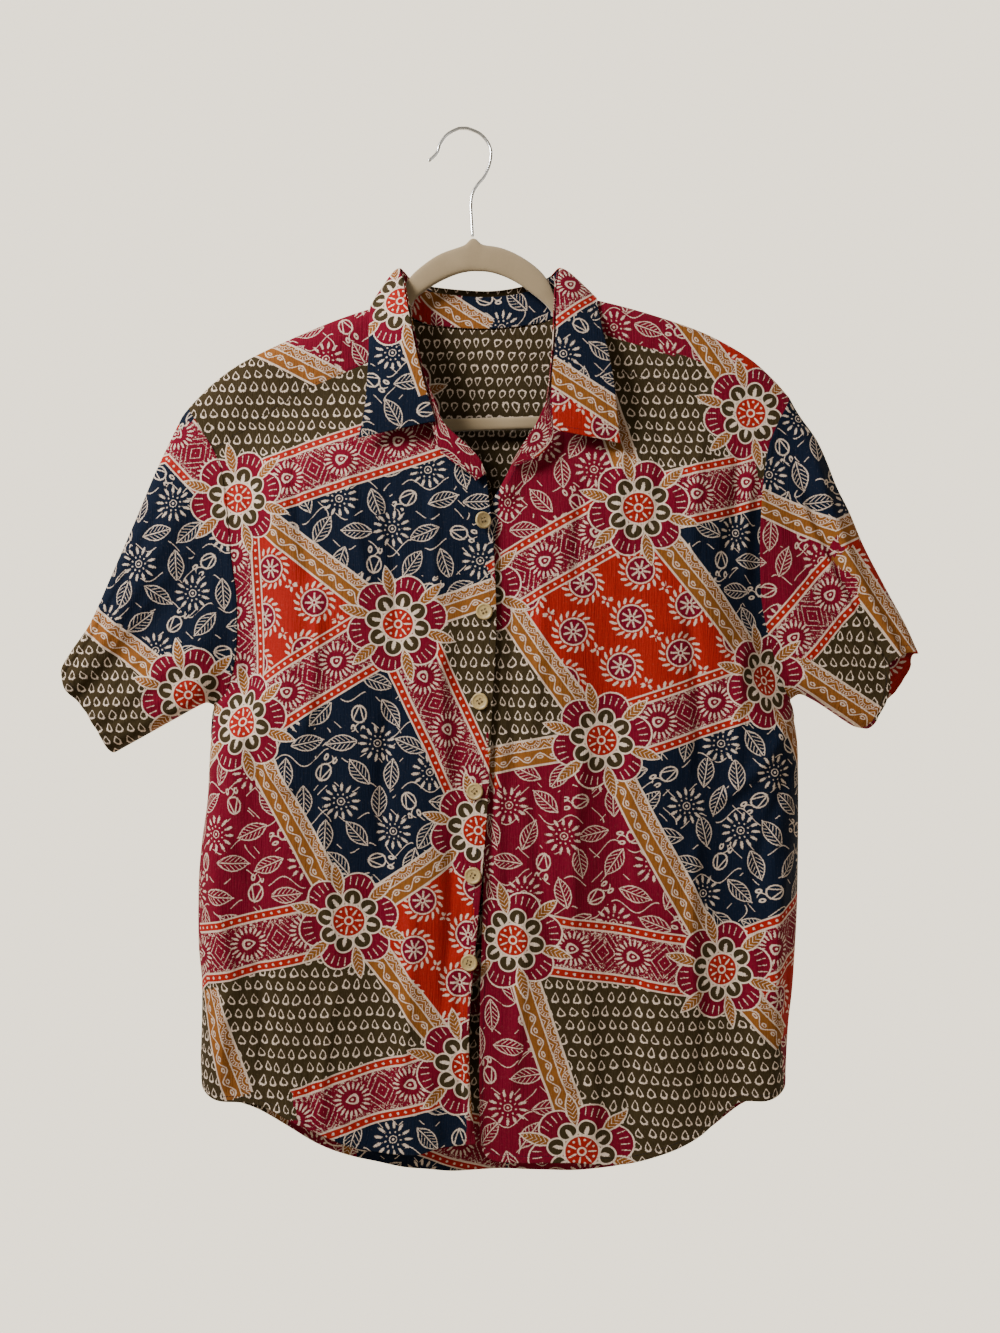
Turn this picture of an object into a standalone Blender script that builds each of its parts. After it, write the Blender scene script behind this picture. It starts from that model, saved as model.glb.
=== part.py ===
"""A short-sleeved cotton button-up shirt, hanging unbuttoned on a velvet hanger.

Sizes are in millimetres until a mesh is made. X runs to the right as one faces the shirt's front,
Y runs away from the viewer and Z runs up. The origin is the inner top of the hanger's wire hook.
The hanger lies in the plane y = 0, with the fronts before it and the back behind it.
"""
import math

import bmesh
import bpy
import numpy as np
from mathutils import Matrix, Vector

MM = 0.001

# Cloth and seams
CLOTH = 1.2
SEAM_HALF_GAP = 0.3
ARMHOLE_GAP = 1.2
LAY_ON = 2.6
STAND_LAY_ON = 1.9
LEAF_OVER_STAND = 4.4
ROLL_GAP = 0.9
YOKE_LEDGE = 14.5
EDGE_BACK_DEPTH = 10.5
FRONT_COLUMNS = 13
SIDE_ROUND = 34.0
ARMHOLE_EASE = 60.0
YOKE_EASE = 95.0
YOKE_BACK_TURN = 2.2
YOKE_FRONT_TURN = 1.6
NECK_TURN = 22.0
SLEEVE_ROUND = 0.13
# Share of a sleeve's length over which it leaves the armhole's own depth
SLEEVE_SETTLE = 0.3
# The right front's edge lies this far over the left front's, which lies this far under
LAP_OVER = 2.0
LAP_UNDER = 2.6
# Heights about the underarm between which the armhole's edge gives way to the side seam's
UNDERARM_ABOVE = 30.0
UNDERARM_RANGE = 75.0
# Middle of the neck, x and y, and how far the leaf's crest stands out from its roll
NECK_MIDDLE = (22.0, -12.0)
CREST_OUT = 5.0
# Behind this depth the collar hangs free inside the neckline
NECK_INSIDE = -13.0
# Heights at which the yoke's seams meet the armholes
RIGHT_FRONT_SEAM = -302
RIGHT_BACK_SEAM = -296
LEFT_FRONT_SEAM = -295
LEFT_BACK_SEAM = -288

# The line between the body's right and left halves
BODY_MIDDLE = 30.0

# Shares of a body panel's height at which its rows lie, closest round the underarm
BODY_ROWS = [0.0, 0.03, 0.07, 0.11, 0.155, 0.2, 0.24, 0.28, 0.32, 0.355, 0.387, 0.415, 0.45, 0.49, 0.53, 0.585,
             0.64, 0.7, 0.76, 0.82, 0.88, 0.93, 0.97, 1.0]

# Hanger and hook
HANGER_THICK = 6.0
HANGER_SIDES = 10
# Powers that flatten the hanger's oval section, across its height and through its thickness
HANGER_SQUARE = (0.6, 0.8)
HOOK_WIRE = 3.2
HOOK_SIDES = 8

# Buttons
BUTTON_WIDE = 15.0
BUTTON_THICK = 2.8
BUTTON_FACETS = 14

# Shoulder line on the hanger's arms. Columns: x, z
SHOULDER_RIGHT = [(-254, -259), (-245, -249.5), (-231, -236), (-212, -221.5), (-189, -209), (-152, -192),
                  (-110, -175), (-62, -160)]
SHOULDER_LEFT = [(101, -155), (126, -159.5), (165, -169.5), (211, -184.5), (239, -197), (267, -214),
                 (288, -233), (303, -250)]

# Yoke seams. Columns: x, z
YOKE_FRONT_RIGHT = [(-227, -302), (-190, -277), (-149, -249), (-112, -232), (-83, -219), (-55, -205)]
YOKE_FRONT_LEFT = [(100, -202), (126, -223), (163, -235), (208, -250), (250, -269), (281, -295)]
YOKE_BACK = [(-236, -296), (-100, -284), (22, -277), (160, -279), (295, -288)]
NECK_BACK = [(-62, -160), (-52, -171), (-28, -180), (22, -183), (70, -178), (92, -166), (101, -155)]

# Front ends of the yoke's neckline, from shoulder line to yoke seam. Columns: x, z
NECK_RIGHT = [(-62, -160), (-61, -183), (-55, -205)]
NECK_LEFT = [(101, -155), (103, -178), (100, -202)]

# Armholes from shoulder tip to underarm. Columns: x, y, z
ARMHOLE_RIGHT_FRONT = [(-254, 0, -259), (-252.5, -7, -261.5), (-247, -12, -270), (-238, -14.3, -284),
                       (-227, -15.5, -302), (-219, -17.5, -324), (-214, -20, -357), (-210, -20, -402),
                       (-206, -18, -438), (-207, -15, -484), (-216, -10, -519), (-227, -5.5, -532), (-231, 0, -535)]
ARMHOLE_RIGHT_BACK = [(-254, 0, -259), (-252.5, 4.5, -261), (-248, 8, -268), (-242, 10, -282), (-236, 10.5, -296),
                      (-230, 12, -342), (-227, 12, -389), (-223, 12, -436), (-220, 10, -474), (-222, 7.5, -512),
                      (-228, 4.5, -531), (-231, 0, -535)]
ARMHOLE_LEFT_FRONT = [(303, 0, -250), (301.5, -7, -252.5), (297, -12, -261), (289, -14.3, -276), (281, -15.5, -295),
                      (277, -17, -313), (273, -20, -345), (271, -20, -388), (273, -18, -438), (281, -15, -474),
                      (292, -10, -509), (300.5, -5.5, -526), (304, 0, -530)]
ARMHOLE_LEFT_BACK = [(303, 0, -250), (302.3, 4.5, -252), (300, 8, -259), (297, 10, -273), (295, 10.5, -288),
                     (293, 12, -342), (292, 12, -389), (291, 12, -436), (292, 10, -474), (297, 7.5, -509),
                     (302, 4.5, -526), (304, 0, -530)]

# Side seams from underarm to hem. Columns: x, z
SIDE_RIGHT = [(-231, -535), (-234, -586), (-236, -623), (-241, -660), (-244, -698), (-244, -752), (-241, -787),
              (-241, -826), (-242, -859), (-241, -880)]
SIDE_LEFT = [(304, -530), (309, -565), (310, -603), (310, -651), (309, -716), (306, -772), (304, -798),
             (301, -823), (299, -853), (298, -880)]

# Front edges from the yoke seam down the neckline to the hem. Columns: x, z
EDGE_RIGHT = [(-55, -205), (-44, -220), (-34, -238), (-25, -264), (-18, -279), (-10, -289), (2, -300),
              (16, -314), (22, -330), (25, -353), (28, -377), (31, -440), (31, -475), (27, -547), (25, -596),
              (20, -669), (12, -756), (8, -800), (7, -840), (9, -885), (13, -923)]
EDGE_LEFT = [(100, -202), (93, -222), (85, -240), (77, -257), (69, -275), (61, -291), (52, -305), (46, -316),
             (36, -336), (26, -354), (21, -377), (20, -440), (20, -565), (20, -672), (18, -744), (16, -836),
             (16, -925)]

# Hems from side seam to front edge, and the back hem from side to side. Columns: x, z
HEM_RIGHT = [(-241, -880), (-221, -886), (-198, -887), (-178, -890), (-156, -898), (-131, -911), (-97, -926),
             (-68, -932), (-41, -933), (-19, -927), (13, -923)]
HEM_LEFT = [(298, -880), (273, -886), (248, -888), (230, -902), (210, -918), (180, -932), (152, -942),
            (132, -944), (99, -941), (33, -941), (22, -936), (16, -925)]
HEM_BACK = [(-241, -880), (-230, -904), (-214, -911), (-190, -920), (-142, -947), (-106, -962), (-70, -971),
            (-37, -974), (34, -975), (129, -973), (176, -964), (224, -942), (261, -914), (283, -902), (298, -880)]

# Depth of the hanging layers. Columns: z, front y, back y
LAYER_DEPTH = [(-150, -14, 10), (-270, -26, 11.5), (-330, -34, 12.5), (-400, -37, 13), (-500, -38, 14),
               (-700, -38.5, 15), (-850, -39.5, 16), (-980, -40, 16)]

# Largest folds of the fronts. Columns: top x, top z, foot x, foot z, half width, height out
FOLDS_FRONT = [(-196, -400, -208, -560, 13, -6), (-206, -560, -216, -860, 17, 4), (-150, -520, -150, -930, 22, 4),
               (-100, -330, -92, -700, 20, 3), (-86, -600, -74, -960, 20, -4), (-34, -420, -40, -950, 19, 3.5),
               (4, -360, -6, -760, 13, -3), (52, -306, 38, -350, 9, 5), (84, -330, 96, -700, 21, 3.5),
               (132, -450, 140, -960, 22, -4), (176, -420, 190, -950, 24, 4), (232, -500, 240, -900, 20, -4),
               (262, -330, 268, -560, 16, 4), (276, -600, 282, -880, 13, 4.5), (-170, -890, -60, -940, 13, 4)]

# Largest folds of the back. Columns: top x, top z, foot x, foot z, half width, height out
FOLDS_BACK = [(-195, -330, -205, -900, 20, 4), (-140, -360, -132, -960, 22, -4), (-72, -300, -80, -980, 20, 4.5),
              (-16, -290, -12, -980, 17, -5), (40, -290, 36, -980, 20, 5), (96, -300, 104, -980, 21, -4),
              (160, -330, 166, -970, 20, 4), (226, -340, 236, -920, 22, 3.5)]

# Sleeves, seen flat: the upper fold, the underarm fold and the hems. Columns: x, y, z
SLEEVE_RIGHT_TOP = [(-254, 0, -259), (-261, 0, -268), (-282, 0, -315), (-303, 0, -365), (-325, 0, -415),
                    (-344, 0, -457), (-361, 0, -482), (-369, 0, -495)]
SLEEVE_RIGHT_FOOT = [(-231, 0, -535), (-240, 0, -533), (-272, 0, -550), (-297, 0, -564), (-324, 0, -579)]
SLEEVE_RIGHT_HEM = [(-369, 0, -495), (-365, -9, -517), (-341, -13, -547), (-324, 0, -579)]
SLEEVE_RIGHT_HEM_BACK = [(-369, 0, -495), (-362, 9, -518), (-340, 11, -548), (-324, 0, -579)]
SLEEVE_LEFT_TOP = [(303, 0, -250), (313, 0, -267), (329, 0, -292), (345, 0, -332), (357, 0, -356),
                   (371, 0, -389), (391, 0, -427), (409, 0, -460), (421, 0, -487)]
SLEEVE_LEFT_FOOT = [(304, 0, -530), (313, 0, -525), (325, 0, -530), (338, 0, -538), (362, 0, -554),
                    (374, 0, -557)]
SLEEVE_LEFT_HEM = [(421, 0, -487), (404, -14, -487), (390, -20, -497), (391, -21, -515), (384, -15, -534),
                   (374, 0, -557)]
SLEEVE_LEFT_HEM_BACK = [(421, 0, -487), (421, 9, -500), (411, 12, -517), (396, 11, -534), (374, 0, -557)]

# Folds of the sleeves, along from armhole to hem. Columns: start across, end across, half width, height out
SLEEVE_RIGHT_FOLDS = [(0.2, 0.28, 0.07, 3.5), (0.5, 0.42, 0.08, -3), (0.74, 0.66, 0.07, 3)]
SLEEVE_LEFT_FOLDS = [(0.05, 0.3, 0.07, 5), (0.34, 0.5, 0.08, -3), (0.72, 0.72, 0.07, 3)]

# Collar stand, from the right front's top to the left front's top.
# Columns: seam x, seam y, seam z, upper x, upper y, upper z
STAND = [(13, -41.5, -334, 22, -41, -327), (7, -42, -327, 15.5, -41.5, -313), (-5, -42, -319, 2, -41, -299),
         (-15, -41, -311, -10, -40, -288), (-22, -40, -300, -17.5, -39, -279), (-31, -36, -264, -24, -38, -262),
         (-39, -28, -238, -33, -36, -238), (-52, -18, -208, -41, -33, -207), (-59, -15, -186, -46, -28, -182),
         (-60.8, -8, -168, -53, -15, -148), (-61, 0, -158.3, -56.5, 0, -131), (-55, 7.5, -165, -50, 9, -135),
         (-44, 10.5, -172.5, -38, 11, -143), (-28, 10.8, -178, -28, 12, -147), (22, 11, -181.3, 22, 13, -151),
         (72, 10.6, -176, 62, 11, -146), (88, 9.5, -168, 79, 9, -136), (95, 7, -161, 85, 7, -133),
         (100.3, 0, -153.6, 88, 0, -131), (100.3, -8, -163, 85, -16, -150), (100.8, -15, -182, 83, -28, -178),
         (97, -18, -206, 82, -33, -206), (86, -28, -236, 79, -36, -240), (79, -36, -260, 76, -38, -262),
         (82, -40, -290, 74, -39, -272), (77, -41, -303, 68, -40, -281), (67, -42, -313, 60, -41, -293),
         (56, -42, -318, 51, -41, -307), (47, -41.5, -321, 45, -41, -317)]

# Collar leaf, from point to point. Columns: roll x, roll y, roll z, edge x, edge y, edge z, roll height
LEAF = [(-22, -41, -282, -92, -38, -295, 0), (-32, -39.5, -248, -87, -38, -272, 0.5),
        (-41, -36, -211, -85, -34, -244, 1.5), (-47, -29, -180, -84, -29, -212, 2), (-53, -16, -149, -85, -18, -184, 3),
        (-57, -1, -130, -84, -1, -161, 5), (-50, 10, -134, -78, 16, -180, 6), (-35, 13, -141, -60, 24, -187, 7),
        (22, 16, -145, 22, 27, -192, 8), (62, 13, -140, 100, 24, -182, 7), (79, 10, -134, 115, 16, -173, 6),
        (88, -1, -130, 122, -1, -155, 5), (85.5, -16, -151, 125, -18, -176, 3), (84, -29, -180, 127, -29, -196, 2),
        (83, -36, -208, 132, -34, -218, 1.5), (79.5, -39.5, -248, 137, -38, -250, 0.5),
        (81, -42, -290, 142, -39, -300, 0)]

# Hanger's neck arch and hump, from left to right. Columns: outer x, outer z, inner x, inner z
ARCH = [(-62, -168, -64, -188), (-57, -162, -57, -177), (-54.5, -152, -50, -165), (-53, -142, -44, -157),
        (-48, -134, -37, -151), (-36, -124, -27, -144.5), (-21, -113.5, -16, -138.5), (-1, -108, -3, -133.5),
        (3.7, -105.2, 4, -132.5), (7, -100, 7, -132), (12.4, -100, 12.4, -132), (15.8, -105.2, 15.5, -132),
        (21, -107, 22, -132), (35, -108, 33, -134.5), (52, -115.5, 46, -140), (65, -124, 57, -147),
        (76, -134, 67, -155), (82, -145, 75, -161), (84.5, -152, 81, -168), (88, -160, 87, -177),
        (94, -164, 94, -184)]
# Hanger's arms lie this far under the shoulder line, with this height and lean
ARM_BELOW_SHOULDER = 4.4
ARM_HEIGHT = 26.0
ARM_LEAN = 7
ARM_LEFT_ENDS = (-72, -189)
ARM_RIGHT_ENDS = (104, 224)
# Hanger's rounded ends, from the arm down to the bar. Columns: outer x, outer z, inner x, inner z
NOSE_LEFT = [(-199, -226, -179, -246), (-205, -242, -182, -254), (-204, -260, -182, -262), (-195, -275, -178, -269),
             (-178, -285, -170, -272.5)]
NOSE_RIGHT = [(233, -207, 214, -232), (240, -224, 219, -241), (240, -246, 219, -250), (231, -264, 215, -258),
              (215, -275, 207, -262.5)]

# Hook's centre line from tip to hump. Columns: x, z
HOOK = [(-32, -29), (-27, -24.5), (-23.5, -20), (-21.5, -13.5), (-15, -4.5), (-5, 1), (0, 1.6), (5, 1.2),
        (15, -3), (22, -10), (26, -19), (25, -31), (20, -43), (13.5, -51), (9, -59), (7.5, -69), (8, -82),
        (9, -99.3)]

# Buttons. Columns: x, z, turn away from the cloth about the vertical in degrees, gap to the cloth
BUTTONS = [(19, -369, 26, 0.1), (20.5, -450, 0, 0.2), (16.5, -530, 0, 0.3), (12, -610, 0, 0.3), (10.5, -685, 0, 0.3),
           (7, -762, 0, 0.45)]

# Finishes. Columns: red, green, blue (linear), roughness, metallic
CRIMSON_PRINT = (0.27, 0.008, 0.035, 0.9, 0.0)
NAVY_PRINT = (0.011, 0.023, 0.054, 0.9, 0.0)
OLIVE_PRINT = (0.069, 0.05, 0.018, 0.9, 0.0)
RED_PRINT = (0.46, 0.021, 0.011, 0.9, 0.0)
OCHRE_PRINT = (0.39, 0.127, 0.024, 0.9, 0.0)
VELVET = (0.39, 0.31, 0.2, 1.0, 0.0)
STEEL = (0.62, 0.62, 0.61, 0.25, 1.0)
PALE_WOOD = (0.61, 0.48, 0.25, 0.5, 0.0)


def smooth(value):
    """Ease from 0 to 1 with level ends."""
    value = min(max(value, 0.0), 1.0)
    return value * value * (3.0 - 2.0 * value)


def quarter_round(value):
    """Rise of a quarter circle from 0 to 1."""
    value = min(max(value, 0.0), 1.0)
    return math.sqrt(1.0 - (1.0 - value) ** 2)


def through(rows, steps=16):
    """Points of a smooth curve through the rows, as an array."""
    rows = np.array(rows, dtype=float)
    ends = np.vstack([2 * rows[0] - rows[1], rows, 2 * rows[-1] - rows[-2]])
    points = []
    for index in range(1, len(ends) - 2):
        before, start, end, after = ends[index - 1:index + 3]
        for step in range(steps):
            t = step / steps
            points.append(0.5 * (2 * start + (end - before) * t
                                 + (2 * before - 5 * start + 4 * end - after) * t ** 2
                                 + (3 * start - before - 3 * end + after) * t ** 3))
    points.append(rows[-1])
    return np.array(points)


def along(rows, fractions):
    """Points at the given fractions of the curve's length."""
    points = through(rows)
    lengths = np.concatenate([[0.0], np.cumsum(np.linalg.norm(np.diff(points, axis=0), axis=1))])
    places = np.array(fractions) * lengths[-1]
    return np.column_stack([np.interp(places, lengths, column) for column in points.T])


def lookup(rows, place, column=1, by=0):
    """One column of a smooth curve, read at a place in another column that rises or falls steadily."""
    points = through(rows, 6)
    order = np.argsort(points[:, by])
    return float(np.interp(place, points[order, by], points[order, column]))


def fold_height(folds, x, z):
    """Sum of the folds' heights at a point of a panel."""
    height = 0.0
    for top_x, top_z, foot_x, foot_z, half_width, out in folds:
        run = Vector((foot_x - top_x, foot_z - top_z))
        offset = Vector((x - top_x, z - top_z))
        share = offset.dot(run) / run.length_squared
        if not -0.05 < share < 1.1:
            continue
        across = (offset.x * run.y - offset.y * run.x) / run.length
        ends = smooth(share / 0.25 + 0.2) * smooth((1.1 - share) / 0.2)
        height += out * ends * math.exp(-(across / half_width) ** 2)
    return height


def body_side(side, z):
    """The body's edge at one height: x and y of the armhole or the side seam."""
    armhole, seam = BODY_EDGES[side]
    if z > seam[0][1]:
        return lookup(armhole, z, 0, 2), lookup(armhole, z, 1, 2)
    return lookup(seam, z, 0, 1), 0.0


BODY_EDGES = {
    "front_right": (ARMHOLE_RIGHT_FRONT, SIDE_RIGHT),
    "front_left": (ARMHOLE_LEFT_FRONT, SIDE_LEFT),
    "back_right": (ARMHOLE_RIGHT_BACK, SIDE_RIGHT),
    "back_left": (ARMHOLE_LEFT_BACK, SIDE_LEFT),
}


def side_rise(distance, z, underarm):
    """How far a layer has risen from its side edge to its full depth."""
    seam_share = smooth((underarm + UNDERARM_ABOVE - z) / UNDERARM_RANGE)
    armhole_part = smooth(distance / ARMHOLE_EASE)
    return (1.0 - seam_share) * armhole_part + seam_share * quarter_round(distance / SIDE_ROUND)


def front_depth(side, x, z):
    """The outer y of a front panel at a point of its flat outline."""
    edge_x, edge_y = body_side(side, z)
    distance = abs(x - edge_x)
    yoke = YOKE_FRONT_RIGHT if side == "front_right" else YOKE_FRONT_LEFT
    below_yoke = smooth((lookup(yoke, x) - z) / YOKE_EASE)
    middle = (1.0 - below_yoke) * -YOKE_LEDGE + below_yoke * lookup(LAYER_DEPTH, z)
    middle -= below_yoke * fold_height(FOLDS_FRONT, x, z)
    if side == "front_right":
        middle -= LAP_OVER * smooth((x + 40.0) / 50.0) * below_yoke
    else:
        middle += LAP_UNDER * smooth((62.0 - x) / 40.0) * below_yoke
    underarm = BODY_EDGES[side][1][0][1]
    rise = side_rise(distance, z, underarm)
    return edge_y + (middle - edge_y) * rise


def back_depth(x, z):
    """The outer y of the back panel and of the yoke's back part."""
    side = "back_right" if x < BODY_MIDDLE else "back_left"
    edge_x, edge_y = body_side(side, z)
    middle = lookup(LAYER_DEPTH, z, 2) + fold_height(FOLDS_BACK, x, z) * smooth((-280.0 - z) / 60.0)
    underarm = BODY_EDGES[side][1][0][1]
    rise = side_rise(abs(x - edge_x), z, underarm)
    return edge_y + (middle - edge_y) * rise


def yoke_front_depth(x, z, raised=0.0):
    """The outer y of the yoke before the shoulder line, or of a layer raised off it."""
    shoulder, seam = (SHOULDER_RIGHT, YOKE_FRONT_RIGHT) if x < BODY_MIDDLE else (SHOULDER_LEFT, YOKE_FRONT_LEFT)
    ridge = lookup(shoulder, x)
    share = (ridge + raised - z) / (ridge - lookup(seam, x))
    return -YOKE_LEDGE * yoke_front_rise(share)


def yoke_front_rise(share):
    """How far the yoke has come forward at a share of its way down from the shoulder line."""
    return quarter_round(min(max(share, 0.0) * YOKE_FRONT_TURN, 1.0) ** 0.8)


def yoke_back_depth(x, z, raised=0.0):
    """The outer y of the yoke behind the shoulder line, or of a layer raised off it."""
    shoulder = SHOULDER_RIGHT if x < BODY_MIDDLE else SHOULDER_LEFT
    ridge = lookup(shoulder, x)
    share = (ridge + raised - z) / (ridge - lookup(YOKE_BACK, x))
    return lookup(LAYER_DEPTH, z, 2) * quarter_round(share * YOKE_BACK_TURN)


def patch(top, foot, start, end, columns, rows):
    """A grid of points between four boundary curves, as rows of arrays."""
    tops = along(top, columns)
    feet = along(foot, columns)
    starts = along(start, rows)
    ends = along(end, rows)
    grid = []
    for row, v in enumerate(rows):
        line = []
        for column, u in enumerate(columns):
            point = (1 - v) * tops[column] + v * feet[column] + (1 - u) * starts[row] + u * ends[row]
            corners = (1 - u) * (1 - v) * tops[0] + u * (1 - v) * tops[-1]
            corners = corners + (1 - u) * v * feet[0] + u * v * feet[-1]
            line.append(point - corners)
        grid.append(line)
    return grid


def material(name, finish):
    """A plain material with the finish's colour, roughness and metallic value."""
    red, green, blue, roughness, metallic = finish
    made = bpy.data.materials.new(name)
    made.use_nodes = True
    shader = made.node_tree.nodes["Principled BSDF"]
    shader.inputs["Base Color"].default_value = (red, green, blue, 1.0)
    shader.inputs["Roughness"].default_value = roughness
    shader.inputs["Metallic"].default_value = metallic
    made.diffuse_color = (red, green, blue, 1.0)
    return made


def place(name, mesh_data, finish):
    """Turn a bmesh in millimetres into a named object in metres."""
    bmesh.ops.scale(mesh_data, vec=(MM, MM, MM), verts=mesh_data.verts)
    bmesh.ops.triangulate(mesh_data, faces=mesh_data.faces)
    mesh = bpy.data.meshes.new(name)
    mesh_data.to_mesh(mesh)
    mesh_data.free()
    mesh.shade_smooth()
    mesh.set_sharp_from_angle(angle=math.radians(50))
    made = bpy.data.objects.new(name, mesh)
    made.data.materials.append(material(name + "_finish", finish))
    bpy.context.scene.collection.objects.link(made)
    return made


def thicken(points, faces, wall, keep=None):
    """Give an outer surface a wall towards its inside, closed along every free edge."""
    work = bmesh.new()
    outer = [work.verts.new(point) for point in points]
    for face in faces:
        work.faces.new([outer[index] for index in face])
    work.verts.index_update()
    work.normal_update()
    inner = []
    for vert in outer:
        point = vert.co - vert.normal * wall
        if keep:
            point = keep(point)
        inner.append(point)
    rims = [(edge.verts[0].index, edge.verts[1].index, edge.link_loops[0].vert.index)
            for edge in work.edges if len(edge.link_faces) == 1]
    inner = [work.verts.new(point) for point in inner]
    for face in faces:
        work.faces.new([inner[index] for index in reversed(face)])
    for first, second, leading in rims:
        if leading == first:
            first, second = second, first
        work.faces.new([outer[first], outer[second], inner[second], inner[first]])
    bmesh.ops.recalc_face_normals(work, faces=work.faces)
    return work


def cloth_sheet(name, grid, outward, finish, keep=None, closed=False, missing=None):
    """A cloth piece from a grid of outer points, rows by columns."""
    rows = len(grid)
    columns = len(grid[0])
    points = [Vector(point) for line in grid for point in line]
    faces = []
    for row in range(rows - 1):
        for column in range(columns if closed else columns - 1):
            if missing and missing(row, column):
                continue
            following = (column + 1) % columns
            faces.append([row * columns + column, row * columns + following,
                          (row + 1) * columns + following, (row + 1) * columns + column])
    used = sorted({index for face in faces for index in face})
    numbers = {index: place_in_list for place_in_list, index in enumerate(used)}
    points = [points[index] for index in used]
    faces = [[numbers[index] for index in face] for face in faces]
    first = faces[len(faces) // 2]
    corner, second, third = (points[first[index]] for index in (0, 1, 2))
    if (second - corner).cross(third - corner).dot(Vector(outward)) < 0:
        faces = [list(reversed(face)) for face in faces]
    return place(name, thicken(points, faces, CLOTH, keep), finish)


def even(count):
    """Evenly spaced fractions from 0 to 1."""
    return [index / (count - 1) for index in range(count)]


def bunched(count):
    """Fractions from 0 to 1, close together at the start where a side rounds over."""
    return [0.0, 0.012] + [share ** 1.35 for share in even(count)[1:]]


def make_front(name, yoke, side, edge, hem, finish):
    """One front panel, from its side and armhole to its front edge and neckline."""
    armhole = [(x, z) for x, y, z in BODY_EDGES[name][0] if z <= yoke_end(name)]
    grid = patch(yoke, hem, armhole + side[1:], edge, bunched(FRONT_COLUMNS), BODY_ROWS)
    lines = []
    for number, line in enumerate(grid):
        lines.append([(x, min(front_depth(name, x, z), -SEAM_HALF_GAP), z - (SEAM_HALF_GAP if number == 0 else 0.0))
                      for x, z in line])
    return cloth_sheet(name, lines, (0, -1, 0), finish, keep_before)


def yoke_end(name):
    """Height at which a front panel's yoke seam meets its armhole."""
    return RIGHT_FRONT_SEAM if name == "front_right" else LEFT_FRONT_SEAM


def keep_before(point):
    """Hold a front wall's inner points before the side seams' plane."""
    return Vector((point.x, min(point.y, -SEAM_HALF_GAP), point.z))


def keep_behind(point):
    """Hold a back wall's inner points behind the side seams' plane."""
    return Vector((point.x, max(point.y, SEAM_HALF_GAP), point.z))


def make_back():
    """The back panel, from the yoke's back seam to the hem."""
    right = [(x, z) for x, y, z in ARMHOLE_RIGHT_BACK if z <= RIGHT_BACK_SEAM] + SIDE_RIGHT[1:]
    left = [(x, z) for x, y, z in ARMHOLE_LEFT_BACK if z <= LEFT_BACK_SEAM] + SIDE_LEFT[1:]
    half = bunched(11)
    columns = [value / 2 for value in half] + [1.0 - value / 2 for value in reversed(half[:-1])]
    grid = patch(YOKE_BACK, HEM_BACK, right, left, columns, BODY_ROWS)
    lines = []
    for number, line in enumerate(grid):
        lines.append([(x, max(back_depth(x, z), SEAM_HALF_GAP), z - (SEAM_HALF_GAP if number == 0 else 0.0))
                      for x, z in line])
    return cloth_sheet("back", lines, (0, 1, 0), OLIVE_PRINT, keep_behind)


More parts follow.
